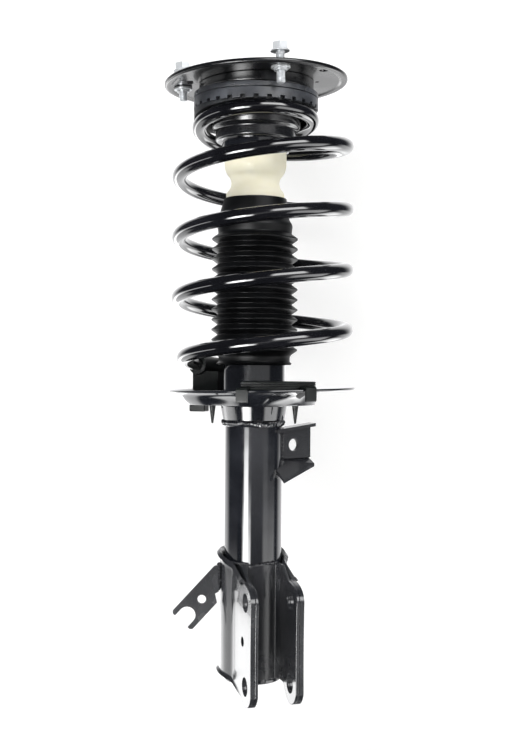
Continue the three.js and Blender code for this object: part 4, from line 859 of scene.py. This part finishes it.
def carved(obj, cutters, operation="DIFFERENCE", crease=32):
    """Cuts a piece with one mesh made of closed bodies, or keeps what lies within it."""
    mesh = bpy.data.meshes.new("cutter")
    cutters.to_mesh(mesh)
    cutters.free()
    tool = bpy.data.objects.new("cutter", mesh)
    scene.collection.objects.link(tool)
    cut = obj.modifiers.new("cut", "BOOLEAN")
    cut.operation = operation
    cut.solver = "EXACT"
    cut.object = tool
    baked(obj)
    shaded(obj, crease)
    bpy.data.objects.remove(tool)


def softened(obj, width, crease=32):
    """Breaks the sharp edges of a piece, as stamping, moulding and paint do."""
    rounding = obj.modifiers.new("soft edges", "BEVEL")
    rounding.width = width * MM
    rounding.segments = 3
    rounding.limit_method = "ANGLE"
    rounding.angle_limit = math.radians(crease)
    rounding.harden_normals = True
    baked(obj)


race = piece("notched_race", turned([
    (race_skirt, race_low[2], 0.3), (race_radius, race_low[2], 0.4), (race_radius, race_high[2], 0.6),
    (BOWL_RADIUS, race_high[2], 0.4), (BOWL_RADIUS, race_high[2] - RACE_SHEET, 0.4),
    (race_skirt, race_high[2] - RACE_SHEET, 0.4),
], 240, 2), nylon, "upper_seat", ["bearing_race"])
notches = bmesh.new()
for i in range(NOTCH_COUNT):
    around = Matrix.Rotation(math.tau * (i + 0.5) / NOTCH_COUNT, 4, "Z")
    place = Matrix.Translation((race_radius * MM, 0, race_low[2] * MM))
    size = Matrix.Diagonal((4 * RACE_SHEET * MM, NOTCH_WIDTH * MM, 2 * NOTCH_DEPTH * MM, 1))
    bmesh.ops.create_cube(notches, size=1, matrix=around @ place @ size)
carved(race, notches)

cover_low, cover_high = extent("bearing_cover")
COVER_BORE = 33.5
COVER_SHEET = 1.6
cover = turned([
    (race_radius - COVER_SHEET, cover_low[2], 0.3), (race_radius, cover_low[2], 0.4),
    (race_radius, cover_high[2], 0.7), (COVER_BORE, cover_high[2], 0.4),
    (COVER_BORE, cover_high[2] - COVER_SHEET, 0.3),
    (race_radius - COVER_SHEET, cover_high[2] - COVER_SHEET, 0.4),
], 240, 2)
LATCH_ANGLES = (-76, -112, -38, 20, 80, 140, 200)
LATCH_SIZE = (1.2, 5.5, 3.0)
for angle in LATCH_ANGLES:
    around = Matrix.Rotation(math.radians(angle), 4, "Z")
    place = Matrix.Translation(((race_radius + 0.1) * MM, 0, (cover_low[2] + 2.2) * MM))
    poured(cover, rounded_block(around @ place, LATCH_SIZE, 0.3, 2))
piece("bearing_top_ring", cover, nylon, "top_mount", ["bearing_cover"])

# ---- Bump stop and its cup ----
# The stop is cellular polyurethane foam with a smooth cream skin, waisted so that it folds as it
# takes the load. It sits in a pressed steel cup that is held by the bowl.
FOAM_STAIN_SIZE = 14
FOAM_CELL_SIZE = 0.9
BUMP_NOSE = 17
BUMP_BODY = 24
BUMP_WAIST = 22.7
BOOT_COLLAR = 29.6
BOOT_WALL = 1.7
ROD_BORE = 12


def cellular_foam(name, colour, stain):
    """Foam with a smooth skin: fine cells, cloudy stains, and a little light let in."""
    finish, tree = blank_finish(name)
    place = add(tree, "TexCoord", {}, {}).outputs["Object"]
    cloud = add(tree, "TexNoise", {}, {"Vector": place, "Scale": 1 / (FOAM_STAIN_SIZE * MM), "Detail": 5})
    cells = add(tree, "TexNoise", {}, {"Vector": place, "Scale": 1 / (FOAM_CELL_SIZE * MM), "Detail": 2})
    skin = add(tree, "Bump", {}, {"Height": cells.outputs[0], "Strength": 0.5, "Distance": 0.04 * MM})
    tint = add(tree, "Mix", {"data_type": "RGBA"}, {
        "Factor": cloud.outputs[0], 6: hex_colour(colour), 7: hex_colour(stain),
    }).outputs[2]
    surface = add(tree, "BsdfPrincipled", {}, {
        "Base Color": tint, "Roughness": 0.5, "Normal": skin.outputs[0],
        "Subsurface Weight": 0.15, "Subsurface Radius": (0.004, 0.0035, 0.002), "Subsurface Scale": 0.5,
    })
    add(tree, "OutputMaterial", {}, {"Surface": surface.outputs[0]})
    return finish


foam = cellular_foam("skinned polyurethane foam", "#f2efdf", "#e9e3c6")
stop_low, stop_high = extent("bump_stop")
boot_low, boot_high = extent("dust_boot")
cup_low, cup_high = extent("bump_stop_cup")
stop_radius, stop_top, stop_nose = stop_high[0], stop_high[2], stop_low[2]
boot_top = boot_high[2]
shown = stop_top - boot_top
collar = BOOT_COLLAR - BOOT_WALL - GAP
stop = turned([
    (ROD_BORE, stop_nose, 1), (BUMP_NOSE - 2, stop_nose, 2.5), (BUMP_NOSE, stop_nose + 6, 3),
    (BUMP_BODY, (stop_nose + boot_top) / 2 - 2, 4), (collar, boot_top - 6, 1.5),
    (collar, boot_top + 0.09 * shown, 1.6), (BUMP_WAIST, boot_top + 0.2 * shown, 4),
    (BUMP_WAIST, boot_top + 0.33 * shown, 4), (stop_radius, boot_top + 0.47 * shown, 5),
    (stop_radius, stop_top, 1.2), (ROD_BORE, stop_top, 0.6),
], 128, 8)
bump_stop = piece("foam_bump_stop", stop, foam, "upper_seat", ["bump_stop"], 50)
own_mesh(bump_stop)

CUP_WALL = 2.2
CUP_HOLE = 13
cup_inner = stop_radius + GAP
cup_under = cup_high[2] - CUP_WALL
piece("bump_cup", turned([
    (cup_inner, cup_low[2], 0.5), (cup_inner + CUP_WALL, cup_low[2], 0.8),
    (cup_inner + CUP_WALL, cup_under, 0.5), (cup_high[0], cup_under, 0.4), (cup_high[0], cup_high[2], 0.6),
    (CUP_HOLE, cup_high[2], 0.4), (CUP_HOLE, cup_under, 0.4), (cup_inner, cup_under, 0.8),
], 128), dip_paint, "upper_seat", ["bump_stop_cup"])

# ---- Dust boot ----
# Blow moulded rubber bellows of twelve folds, satin black. Its collar grips the neck of the bump stop
# and its cuff slides down over the tube's end as the strut closes.
BOOT_PEAK = 41.4
BOOT_VALLEY = 34.7
BOOT_CUFF = 33.6
BOOT_CUFF_HEIGHT = 8
BOOT_COLLAR_HEIGHT = 33
BOOT_FOLDS = 12

boot_rubber = rubber("blow moulded boot rubber", "#08090a", "#111214", 0.8, 0.03, 0.42, 0.35)
boot_bottom = boot_low[2]
cuff_top = boot_bottom + BOOT_CUFF_HEIGHT
fold = (boot_top - BOOT_COLLAR_HEIGHT - cuff_top) / BOOT_FOLDS
folds = []
for i in range(BOOT_FOLDS):
    folds.append((BOOT_VALLEY, cuff_top + fold * i, 0.9))
    folds.append((BOOT_PEAK, cuff_top + fold * (i + 0.5), 1.5))
shoulder = boot_top - BOOT_COLLAR_HEIGHT
boot_line = [
    (BOOT_CUFF + 2, boot_bottom, 0), (BOOT_CUFF, boot_bottom + 2, 0.8), (BOOT_CUFF, cuff_top - 2, 1), *folds,
    (BOOT_VALLEY, shoulder, 1.2), (BOOT_VALLEY + 1, shoulder + BOOT_COLLAR_HEIGHT / 4, 2),
    (32, shoulder + BOOT_COLLAR_HEIGHT * 0.42, 2), (33, boot_top - BOOT_COLLAR_HEIGHT * 0.36, 2.5),
    (BOOT_COLLAR + 1, boot_top - BOOT_COLLAR_HEIGHT / 8, 1.5), (BOOT_COLLAR, boot_top, 0),
]
bellows = turned(pressed(boot_line, BOOT_WALL), 144, 4)
boot = piece("bellows_boot", bellows, boot_rubber, "upper_seat", ["dust_boot"], 50)
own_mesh(boot)

# ---- Top mount: cup, rubber, sleeve, washers and nut ----
# A pressed cup welded under the plate holds a rubber bush; the rod's stud goes through its sleeve and
# is drawn up by a zinc plated nut over a washer.
PLATE_TILT = math.radians(2.1)
MOUNT_SHEET = 3
MOUNT_CUP_HEIGHT = 9.65
mount_low, mount_high = extent("mount_cup")
plate_high = extent("mount_plate")[1]
mount_radius, cup_bottom = mount_high[0], mount_low[2]
cup_rim = cup_bottom + MOUNT_CUP_HEIGHT
plate_under = cup_rim + GAP
plate_top = plate_under + MOUNT_SHEET
CUP_BORE = 24


def leaning(x, y, z):
    """The plate leans: its right side stands higher."""
    return x, y, z + math.tan(PLATE_TILT) * x


# The mount's black paint, thinner and duller than the damper's.
mount_paint = gloss_coat("stoved black paint of the mount", "#08090b", "#111215", 0.015, 0.26, 0.3)
mount_body = turned([
    (CUP_BORE, cup_bottom, 0.5), (mount_radius, cup_bottom, 2.2), (mount_radius, cup_rim, 0.3),
    (mount_radius - MOUNT_SHEET, cup_rim, 0.3), (mount_radius - MOUNT_SHEET, cup_bottom + MOUNT_SHEET, 1),
    (CUP_BORE, cup_bottom + MOUNT_SHEET, 0.5),
], 200)
reshape(mount_body, lambda x, y, z: leaning(x, y, z) if z > cup_rim - 1 else (x, y, z))
piece("pressed_mount_cup", mount_body, mount_paint, "top_mount", ["mount_cup"])

DOME_RADIUS = 40
sleeve_low, sleeve_high = extent("mount_sleeve")
bush_outer = DOME_RADIUS - MOUNT_SHEET - GAP
bush_web = cup_bottom + MOUNT_SHEET + GAP
bush = turned([
    (sleeve_high[0] + GAP, sleeve_low[2], 0.6), (CUP_BORE - GAP, sleeve_low[2], 0.8),
    (CUP_BORE - GAP, bush_web, 0.5), (bush_outer, bush_web, 1), (bush_outer, sleeve_high[2], 1),
    (23, sleeve_high[2], 0), (sleeve_high[0] + GAP, sleeve_high[2], 0.6),
], 96)


def lean_under_dome(x, y, z):
    """The rubber leans with the plate only where it lies against the dome."""
    at_dome = z > sleeve_high[2] - 2 and math.hypot(x, y) > 24
    return leaning(x, y, z) if at_dome else (x, y, z)


reshape(bush, lean_under_dome)
piece("mount_bush", bush, pad_rubber, "top_mount", ["mount_rubber"])

zinc_plate = bare_metal("bright zinc plated steel", "#eceef0", "#d6dade", 0.34, 0.5, 0.5)
WASHER_BORE = 7.3
washer_low, washer_high = extent("upper_washer")
piece("stud_washer", turned([
    (WASHER_BORE, washer_low[2], 0.3), (washer_high[0], washer_low[2], 0.6),
    (washer_high[0], washer_high[2], 0.8), (WASHER_BORE, washer_high[2], 0.3),
], 96), zinc_plate, "top_mount", ["upper_washer"])


def drawn_out(bm, by):
    """Draws a flat face out into a body, by so many millimetres, and gives the far corners."""
    grown = bmesh.ops.extrude_face_region(bm, geom=bm.faces[:])
    moved = [item for item in grown["geom"] if isinstance(item, bmesh.types.BMVert)]
    bmesh.ops.translate(bm, verts=moved, vec=[side * MM for side in by])
    return moved


def hexagon(flats, bottom, top, chamfer):
    """A hexagon bar with its corners turned off at the top, standing on the rod's axis."""
    bm = bmesh.new()
    bmesh.ops.create_circle(bm, cap_ends=True, segments=6, radius=flats / math.sqrt(3) * MM)
    bmesh.ops.translate(bm, verts=bm.verts[:], vec=(0, 0, bottom * MM))
    lifted = drawn_out(bm, (0, 0, top - bottom))
    bmesh.ops.bevel(
        bm, geom=lifted, offset=chamfer * MM, offset_type="OFFSET", segments=3, profile=0.5,
        affect="VERTICES", material=-1,
    )
    bmesh.ops.recalc_face_normals(bm, faces=bm.faces[:])
    return bm


nut_low, nut_high = extent("rod_nut")
ROD_NUT_FLATS = 21
NUT_BORE = 7.2
nut_bar = hexagon(ROD_NUT_FLATS, nut_low[2], nut_high[2], 1.6)
nut = piece("rod_nut_hex", nut_bar, zinc_plate, "top_mount", ["rod_nut"])
carved(nut, turned([
    (0, nut_low[2] - 1, 0), (NUT_BORE, nut_low[2] - 1, 0), (NUT_BORE, nut_high[2] + 1, 0),
    (0, nut_high[2] + 1, 0),
], 64))
softened(nut, 0.3)

# ---- Piston rod ----
# Ground and hard chromed steel, mirror bright, with a threaded stud through the mount. Only its last
# turn of thread shows above the nut.
THREAD_PITCH = 1.5
rod_low, rod_high = extent("piston_rod")
rod_radius, rod_tip = rod_high[0], rod_high[2]
ROD_SHOULDER_DROP = 1.9
rod_shoulder = cover_high[2] - ROD_SHOULDER_DROP
PISTON_STUD = 6
ROD_STUD = 7
stud_bottom = extent("rebound_stop")[0][2]
thread_rows = []
height = nut_low[2] - 2
while height < rod_tip - 2 * THREAD_PITCH:
    thread_rows += [(ROD_STUD, height, 0), (ROD_STUD - 0.8, height + THREAD_PITCH / 2, 0)]
    height += THREAD_PITCH
hard_chrome = bare_metal("hard chrome, ground and polished", "#e2e4e6", "#d4d7da", 0.1, 0.3)
piece("chromed_rod", turned([
    (0, rod_low[2], 0), (PISTON_STUD, rod_low[2], 0.8), (PISTON_STUD, stud_bottom, 0.3),
    (rod_radius, stud_bottom, 0.6), (rod_radius, rod_shoulder, 0.8), (ROD_STUD, rod_shoulder, 0.4),
    *thread_rows, (ROD_STUD, rod_tip - 1.2, 0), (ROD_STUD - 1, rod_tip, 0.2), (0, rod_tip, 0),
], 96), hard_chrome, "top_mount", ["piston_rod"])

# ---- Mount plate ----
# A round plate pressed from 3 mm steel with a drawn dome and a rim rolled down all round. It leans a
# little on the swivel and has three screw holes, a locating hole, a drain hole and a slot.
PLATE_SKIRT = 4.5
DOME_RISE = 10
DOME_BORE = 26
BOLT_ANGLES = (-72, 48, 177)
BOLT_EDGE = 16.8
PLATE_HOLES = ((10.7, -35.6, 4.4), (28.9, -2, 2))
SLOT_EDGE = 24.6
SLOT_SETBACK = -15
SLOT_SIZE = (5.6, 12)
RIM_BEAD = 3.5
SCREW_HOLE = 4.6

plate_radius = plate_high[0]
dome_top = plate_top + DOME_RISE
plate_body = turned([
    (DOME_RADIUS - MOUNT_SHEET, plate_under, 1.2), (plate_radius - RIM_BEAD - 4, plate_under, 1.2),
    (plate_radius - RIM_BEAD - 2.6, plate_under - 1.2, 0.8),
    (plate_radius - RIM_BEAD, plate_top - PLATE_SKIRT, 1.1),
    (plate_radius - 0.4, plate_top - PLATE_SKIRT, 1.3),
    (plate_radius, plate_top - PLATE_SKIRT / 2 - 0.5, 0.5),
    (plate_radius, plate_top, 1.8), (DOME_RADIUS + 1, plate_top, 2), (DOME_RADIUS, dome_top, 2.2),
    (DOME_BORE, dome_top, 0.5), (DOME_BORE, dome_top - MOUNT_SHEET, 0.5),
    (DOME_RADIUS - MOUNT_SHEET, dome_top - MOUNT_SHEET, 1.2),
], 256, 4)
reshape(plate_body, leaning)
plate = piece("top_plate", plate_body, mount_paint, "top_mount", ["mount_plate"])


def on_plate(inset, angle):
    reach = plate_radius - inset
    return reach * math.cos(math.radians(angle)), reach * math.sin(math.radians(angle))


def drill(cutters, radius, depth, place, segments):
    """Adds a round bar to a set of cutters, in millimetres, along the z axis of its place."""
    bmesh.ops.create_cone(
        cutters, cap_ends=True, segments=segments, radius1=radius * MM, radius2=radius * MM,
        depth=depth * MM, matrix=place,
    )


leant = Matrix.Translation((0, 0, plate_top * MM)) @ Matrix.Rotation(-PLATE_TILT, 4, "Y")
drills = bmesh.new()
bolt_spots = [on_plate(BOLT_EDGE, angle) for angle in BOLT_ANGLES]
round_holes = [(*spot, SCREW_HOLE) for spot in bolt_spots]
round_holes += [(*on_plate(inset, angle), radius) for inset, angle, radius in PLATE_HOLES]
for x, y, radius in round_holes:
    place = leant @ Matrix.Translation((x * MM, y * MM, -1.5 * MM))
    drill(drills, radius, 9, place, 48)
place = leant @ Matrix.Translation(((SLOT_EDGE - plate_radius) * MM, SLOT_SETBACK * MM, 0))
slot_bar = Matrix.Diagonal((*(side * MM for side in SLOT_SIZE), 12 * MM, 1))
bmesh.ops.create_cube(drills, size=1, matrix=place @ slot_bar)
carved(plate, drills)

# ---- Plate screws and clip nuts ----
# M8 hexagon flange screws and flanged clip nuts, cold headed steel with bright zinc plate. The
# screws stand proud, as delivered, and the nuts hang under the plate.
BOLT_STANDOFFS = (9.5, 9.5, 12)
BOLT_RADIUS = 4
BOLT_LENGTH = 28
BOLT_FLATS = 13
BOLT_FLANGE = 8.7
BOLT_HEAD = 8
BOLT_PITCH = 1.25
NUT_HEIGHT = 4.4
NUT_HUB = 6
NUT_FLANGE = 8.7
NUT_FLANGE_HEIGHT = 2.4

for i, ((x, y), standoff) in enumerate(zip(bolt_spots, BOLT_STANDOFFS), 1):
    shank = []
    height = 1.5 - BOLT_LENGTH
    while height < -3:
        shank += [(BOLT_RADIUS, height, 0), (BOLT_RADIUS - 0.65, height + BOLT_PITCH / 2, 0)]
        height += BOLT_PITCH
    screw = turned([
        (0, -BOLT_LENGTH, 0), (BOLT_RADIUS - 1, -BOLT_LENGTH, 0.2), *shank,
        (BOLT_RADIUS, height, 0), (BOLT_RADIUS, 0, 0.3), (BOLT_FLANGE, 0, 0.3),
        (BOLT_FLANGE, 1, 0.4), (BOLT_FLATS / 2 - 0.2, 2.8, 0.5), (0, 2.8, 0),
    ], 48)
    poured(screw, hexagon(BOLT_FLATS, 1, BOLT_HEAD, 1.1))
    screw_place = leant @ Matrix.Translation((x * MM, y * MM, standoff * MM))
    bmesh.ops.transform(screw, matrix=screw_place, verts=screw.verts[:])
    nodes = [f"plate_bolt_{i}"]
    softened(piece(f"flange_screw_{i}", screw, zinc_plate, "top_mount", nodes), 0.25, 50)
    clip_nut = turned([
        (BOLT_RADIUS + GAP, -NUT_HEIGHT, 0.3), (NUT_HUB, -NUT_HEIGHT, 0.5),
        (NUT_HUB, -NUT_FLANGE_HEIGHT, 0.4), (NUT_FLANGE, -NUT_FLANGE_HEIGHT, 0.5),
        (NUT_FLANGE, 0, 0.6), (BOLT_RADIUS + GAP, 0, 0.3),
    ], 48)
    nut_place = leant @ Matrix.Translation((x * MM, y * MM, (-MOUNT_SHEET - GAP) * MM))
    bmesh.ops.transform(clip_nut, matrix=nut_place, verts=clip_nut.verts[:])
    piece(f"flange_nut_{i}", clip_nut, zinc_plate, "top_mount", [f"plate_nut_{i}"])

# ---- Knuckle bracket ----
# Two pressings of gloss painted steel hold the knuckle. A strip of 4 mm sheet is wrapped round the
# tube and runs forward into the ears, and a channel of 3 mm sheet is welded between them.
EAR_TURN = math.radians(17)
WRAP_SHEET = 4
CHANNEL_SHEET = 3
EAR_OPENING = 35
EAR_REACH = 59
EAR_HOLE = 8.5
EAR_LOWER_HOLE = 8.4
EAR_HOLE_SPACING = 74.8
EAR_LOBE = 18.5
EAR_EDGE = 18
EAR_WAIST = 2
EAR_TOP = 98
EAR_SHOULDER = 48
EAR_SLOT = (4.5, 51, 47)
WRAP_BOTTOM = 6
WRAP_BOTTOM_FALL = 10
WRAP_TOP = 122
WRAP_TOP_FALL = 19
WRAP_LIP = 4
WRAP_FALL_START = 8
CHANNEL_BOTTOM = 5
CHANNEL_TOP = 111
CHANNEL_BEND = 6
CHANNEL_CREASE = 4

ear_inner = EAR_OPENING / 2 + CHANNEL_SHEET + GAP
wrap_bore = tube_radius + GAP
wrap_outer = wrap_bore + WRAP_SHEET
ear_front = EAR_REACH + EAR_EDGE
upper_hole = EAR_LOWER_HOLE + EAR_HOLE_SPACING


def arc(centre, radius, start, end, steps):
    angles = [math.radians(mix(start, end, i / steps)) for i in range(steps + 1)]
    return [(centre[0] + radius * math.cos(a), centre[1] + radius * math.sin(a)) for a in angles]


def curve(start, control, end, steps=12):
    points = [Vector(p) for p in (start, control, end)]
    return [
        tuple(points[0].lerp(points[1], i / steps).lerp(points[1].lerp(points[2], i / steps), i / steps))
        for i in range(1, steps + 1)
    ]


# The ear's edge seen from the side, as (distance ahead of the axis, height).
lobe = arc((EAR_REACH, EAR_LOWER_HOLE), EAR_LOBE, -135, -18, 20)
waist = (ear_front - EAR_WAIST, (EAR_LOWER_HOLE + upper_hole) / 2)
ear_edge = [
    *lobe, *curve(lobe[-1], waist, (ear_front, upper_hole)),
    *curve((ear_front, upper_hole), (ear_front, EAR_TOP), (EAR_REACH - EAR_EDGE / 2, EAR_TOP + 2)),
]


def side_prism(outline, half):
    """An outline seen from the side, made a body that spans the bracket from side to side."""
    bm = bmesh.new()
    bm.faces.new([bm.verts.new((-half * MM, -ahead * MM, height * MM)) for ahead, height in outline])
    drawn_out(bm, (2 * half, 0, 0))
    bmesh.ops.recalc_face_normals(bm, faces=bm.faces[:])
    return bm


def ear_drills(slot):
    bm = bmesh.new()
    across = Matrix.Rotation(math.radians(90), 4, "Y")
    for height in (EAR_LOWER_HOLE, upper_hole):
        place = Matrix.Translation((0, -EAR_REACH * MM, height * MM)) @ across
        drill(bm, EAR_HOLE, 4 * wrap_outer, place, 64)
    if slot:
        radius, reach, height = EAR_SLOT
        place = Matrix.Translation((-wrap_outer * MM, -reach * MM, height * MM)) @ across
        drill(bm, radius, wrap_outer, place, 40)
    return bm


# The same dip, duller on the pressings: handled, scuffed and dusty.
bracket_paint = gloss_coat("handled black dip paint", "#28292c", "#38393c", 0.02, 0.22, 0.4)

# The strip is first drawn as a line in plan, then drawn up in rows, bent into its lips and thickened.
join = math.asin(ear_inner / wrap_bore)
back_arc = arc((0, 0), wrap_bore, math.degrees(join) - 90 + 8, 270 - math.degrees(join) - 8, 72)
right_start = (ear_inner, -math.sqrt(wrap_bore ** 2 - ear_inner ** 2) - 7)
right_ear = [(ear_inner, -mix(ear_front + 2, -right_start[1], i / 14)) for i in range(15)]
blend_in = curve(right_start, (ear_inner, right_start[1] + 6), back_arc[0], 8)[:-1]
half_plan = [*right_ear, *blend_in]
plan = [*half_plan, *back_arc, *[(-x, y) for x, y in reversed(half_plan)]]
ROWS = [0, 0.012, 0.025, 0.04, 0.06, 0.1, 0.2, 0.35, 0.5, 0.65, 0.8, 0.88, 0.92, 0.945, 0.965, 0.98, 0.99, 1]

strip = bmesh.new()
row = [strip.verts.new((x * MM, y * MM, 0)) for x, y in plan]
sides = [strip.edges.new(pair) for pair in zip(row, row[1:])]
for before, after in zip(ROWS, ROWS[1:]):
    grown = bmesh.ops.extrude_edge_only(strip, edges=sides)
    sides = [item for item in grown["geom"] if isinstance(item, bmesh.types.BMEdge)]
    risen = [item for item in grown["geom"] if isinstance(item, bmesh.types.BMVert)]
    bmesh.ops.translate(strip, verts=risen, vec=(0, 0, (after - before) * MM))


def strip_fall(ahead):
    return clamp((ahead + WRAP_FALL_START) / (EAR_SHOULDER + WRAP_FALL_START))


def bend_strip(x, y, z):
    ahead = -y
    on_ear = ahead > EAR_SHOULDER
    low = -2 * EAR_LOBE if on_ear else WRAP_BOTTOM - WRAP_BOTTOM_FALL * strip_fall(ahead)
    high = WRAP_TOP if on_ear else WRAP_TOP - WRAP_TOP_FALL * strip_fall(ahead)
    height = mix(low, high, z)
    reach = 1.5 * WRAP_LIP
    below = clamp(1 - (height - low) / reach) ** 2 * (1 - strip_fall(ahead))
    above = clamp(1 - (high - height) / reach) ** 2
    lip = 0 if on_ear else WRAP_LIP * (below + above)
    away = Vector((x, y, 0)).normalized() if ahead < 10 else Vector((math.copysign(1, x), 0, 0))
    return x + away.x * lip, y + away.y * lip, height


reshape(strip, bend_strip)
bmesh.ops.recalc_face_normals(strip, faces=strip.faces[:])
wrap = piece("wrap_pressing", strip, bracket_paint, "strut_body", ["knuckle_bracket_outer"])
wall = wrap.modifiers.new("sheet", "SOLIDIFY")
wall.thickness = WRAP_SHEET * MM
wall.offset = 1
wall.use_even_offset = True
baked(wrap)
shaded(wrap)
behind = -wrap_outer - 2 * WRAP_LIP
carved(wrap, side_prism([
    (behind, -8), (EAR_SHOULDER - EAR_LOBE, WRAP_BOTTOM - WRAP_BOTTOM_FALL), *ear_edge,
    (EAR_SHOULDER, EAR_TOP + 2), (EAR_SHOULDER, WRAP_TOP + 1), (behind, WRAP_TOP + 1),
], wrap_outer + 3 * WRAP_LIP), "INTERSECT")
carved(wrap, ear_drills(True))
softened(wrap, 0.7)


# The channel: its web is bowed round the front of the tube and meets the side walls at slanted creases.
half_opening = EAR_OPENING / 2
channel_outer = ear_inner - GAP
web_face = wrap_bore + CHANNEL_SHEET
heel = math.degrees(math.asin(channel_outer / wrap_bore))
crease = math.degrees(math.asin((half_opening - CHANNEL_CREASE) / web_face))
seat_start = -web_face - 0.6
front = -ear_front - 1
channel_plan = [
    (channel_outer, front), *arc((0, 0), wrap_bore, -90 + heel, -90 - heel, 32), (-channel_outer, front),
    (-half_opening, front), (-half_opening, seat_start),
    *arc((0, 0), web_face, -90 - crease, -90 + crease, 24),
    (half_opening, seat_start), (half_opening, front),
]
channel = bmesh.new()
channel.faces.new([channel.verts.new((x * MM, y * MM, -2 * EAR_LOBE * MM)) for x, y in channel_plan])
drawn_out(channel, (0, 0, WRAP_TOP + 2 * EAR_LOBE))
bmesh.ops.recalc_face_normals(channel, faces=channel.faces[:])
inner = piece(
    "channel_pressing", channel, bracket_paint, "strut_body", ["knuckle_bracket_inner"],
)
carved(inner, side_prism([
    (0, CHANNEL_BOTTOM), (tube_radius + 2 * CHANNEL_BEND, CHANNEL_BOTTOM), *ear_edge,
    (tube_radius + CHANNEL_BEND, CHANNEL_TOP), (0, CHANNEL_TOP),
], wrap_outer), "INTERSECT")
carved(inner, ear_drills(False))
softened(inner, 0.6)
for pressing in (wrap, inner):
    pressing.data.transform(Matrix.Rotation(EAR_TURN, 4, "Z"))

# ---- Hose and link brackets ----
# Stamped 2.5 and 3 mm steel, welded on before painting: an arm with a clip hole and an open notch for
# the brake hose, and a drilled web between two flanges for the stabiliser link.


def stamping(name, node, edge_radius):
    """The CAD sheet metal as one clean mesh, its faces made whole and its stamped edges broken."""
    bm = bmesh.new()
    bm.from_mesh(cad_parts[node].data)
    bmesh.ops.remove_doubles(bm, verts=bm.verts[:], dist=0.02 * MM)
    bmesh.ops.dissolve_limit(bm, angle_limit=math.radians(0.8), verts=bm.verts[:], edges=bm.edges[:])
    obj = piece(name, bm, bracket_paint, "strut_body", [node])
    softened(obj, edge_radius)
    return obj


stamping("hose_arm", "hose_bracket", 0.5)
stamping("link_web", "link_bracket", 0.6)


def weld_run(name, points, thickness):
    """A short lumpy weld bead laid along a few points, in millimetres, and painted over."""
    line = bpy.data.curves.new(name, "CURVE")
    line.dimensions = "3D"
    line.bevel_depth = thickness * MM
    line.bevel_resolution = 4
    line.use_fill_caps = True
    run = line.splines.new("POLY")
    count = 40
    run.points.add(count)
    for i, point in enumerate(run.points):
        place = i / count * (len(points) - 1)
        start = min(int(place), len(points) - 2)
        spot = Vector(points[start]).lerp(Vector(points[start + 1]), place - start)
        point.co = (*(spot * MM), 1)
        ends = min(1, 0.35 + min(i, count - i) / 6)
        point.radius = ends * (1 + 0.22 * math.sin(i * 1.9) + 0.5 * noise.noise(spot / 4))
    return piece(name, drawn(line), bracket_paint, "strut_body", (), 60)


def on_tube(angle, height, stand_off=GAP):
    reach = tube_radius + stand_off
    return reach * math.cos(math.radians(angle)), reach * math.sin(math.radians(angle)), height


hose_high = extent("hose_bracket")[1]
hose_root = hose_high[0] + 0.4
link_high = extent("link_bracket")[1]
lid_height = link_high[2] - 6.5


def seam(*angles):
    """A seam just above the channel, a little higher in its middle."""
    return [on_tube(angle, CHANNEL_TOP + rise, 2.2) for angle, rise in zip(angles, (0.5, 0.8, 0.5))]


WELD_RUNS = [
    ("hose_arm_weld", 1.9, [(hose_root, -10, 84), (hose_root, -10.5, 95), (hose_root, -10, 107)]),
    ("hose_tab_weld", 1.7, [(hose_root, -10, 107), (hose_root - 0.6, -4, 107.5), (hose_root - 1, 2.5, 106)]),
    ("link_web_weld", 1.8, [on_tube(-4, lid_height - 30), on_tube(-4, lid_height - 2)]),
    ("link_lid_weld", 2.0, [
        on_tube(-3, lid_height), on_tube(-14, lid_height - 0.5), on_tube(-24, lid_height - 1),
    ]),
    ("link_apron_weld", 1.7, [
        on_tube(-5, lid_height - 28), on_tube(-20, lid_height - 36), on_tube(-38, lid_height - 44),
    ]),
    ("wrap_seam_weld_left", 1.4, seam(218, 240, 262)),
    ("wrap_seam_weld_right", 1.4, seam(284, 305, 322)),
]
for name, thickness, points in WELD_RUNS:
    weld_run(name, points, thickness)

# ---- What the tube and the mount hold ----
# Valve, cylinder, guide, piston with its nut, lower washer, sleeve and ball cage are turned or
# sintered steel, the bush and the piston's band are bronze, and the seal and rebound stop are rubber.
# These twelve stay as the CAD has them.
bronze = bare_metal("sintered bearing bronze", "#a98a5c", "#8a6c45", 0.4, 0.6)
seal_rubber = rubber("oil proof seal rubber", "#101012", "#1b1b1e", 0.8, 0.03, 0.45)
HELD = [
    (turned_steel, [
        "base_valve", "pressure_tube", "rod_guide", "piston", "piston_nut", "lower_washer", "mount_sleeve",
        "ball_cage",
    ]),
    (bronze, ["guide_bush", "piston_band"]),
    (seal_rubber, ["rod_seal", "rebound_stop"]),
]
for finish, nodes in HELD:
    for node in nodes:
        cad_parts[node].data.materials.clear()
        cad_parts[node].data.materials.append(finish)

# ---- Shading ----
# Weighted normals keep flat and straight faces true up to the edge of each rounding. Pieces that
# carry shape keys are left out.
for obj in made:
    if obj.data.shape_keys is None:
        even = obj.modifiers.new("even shading", "WEIGHTED_NORMAL")
        even.keep_sharp = True
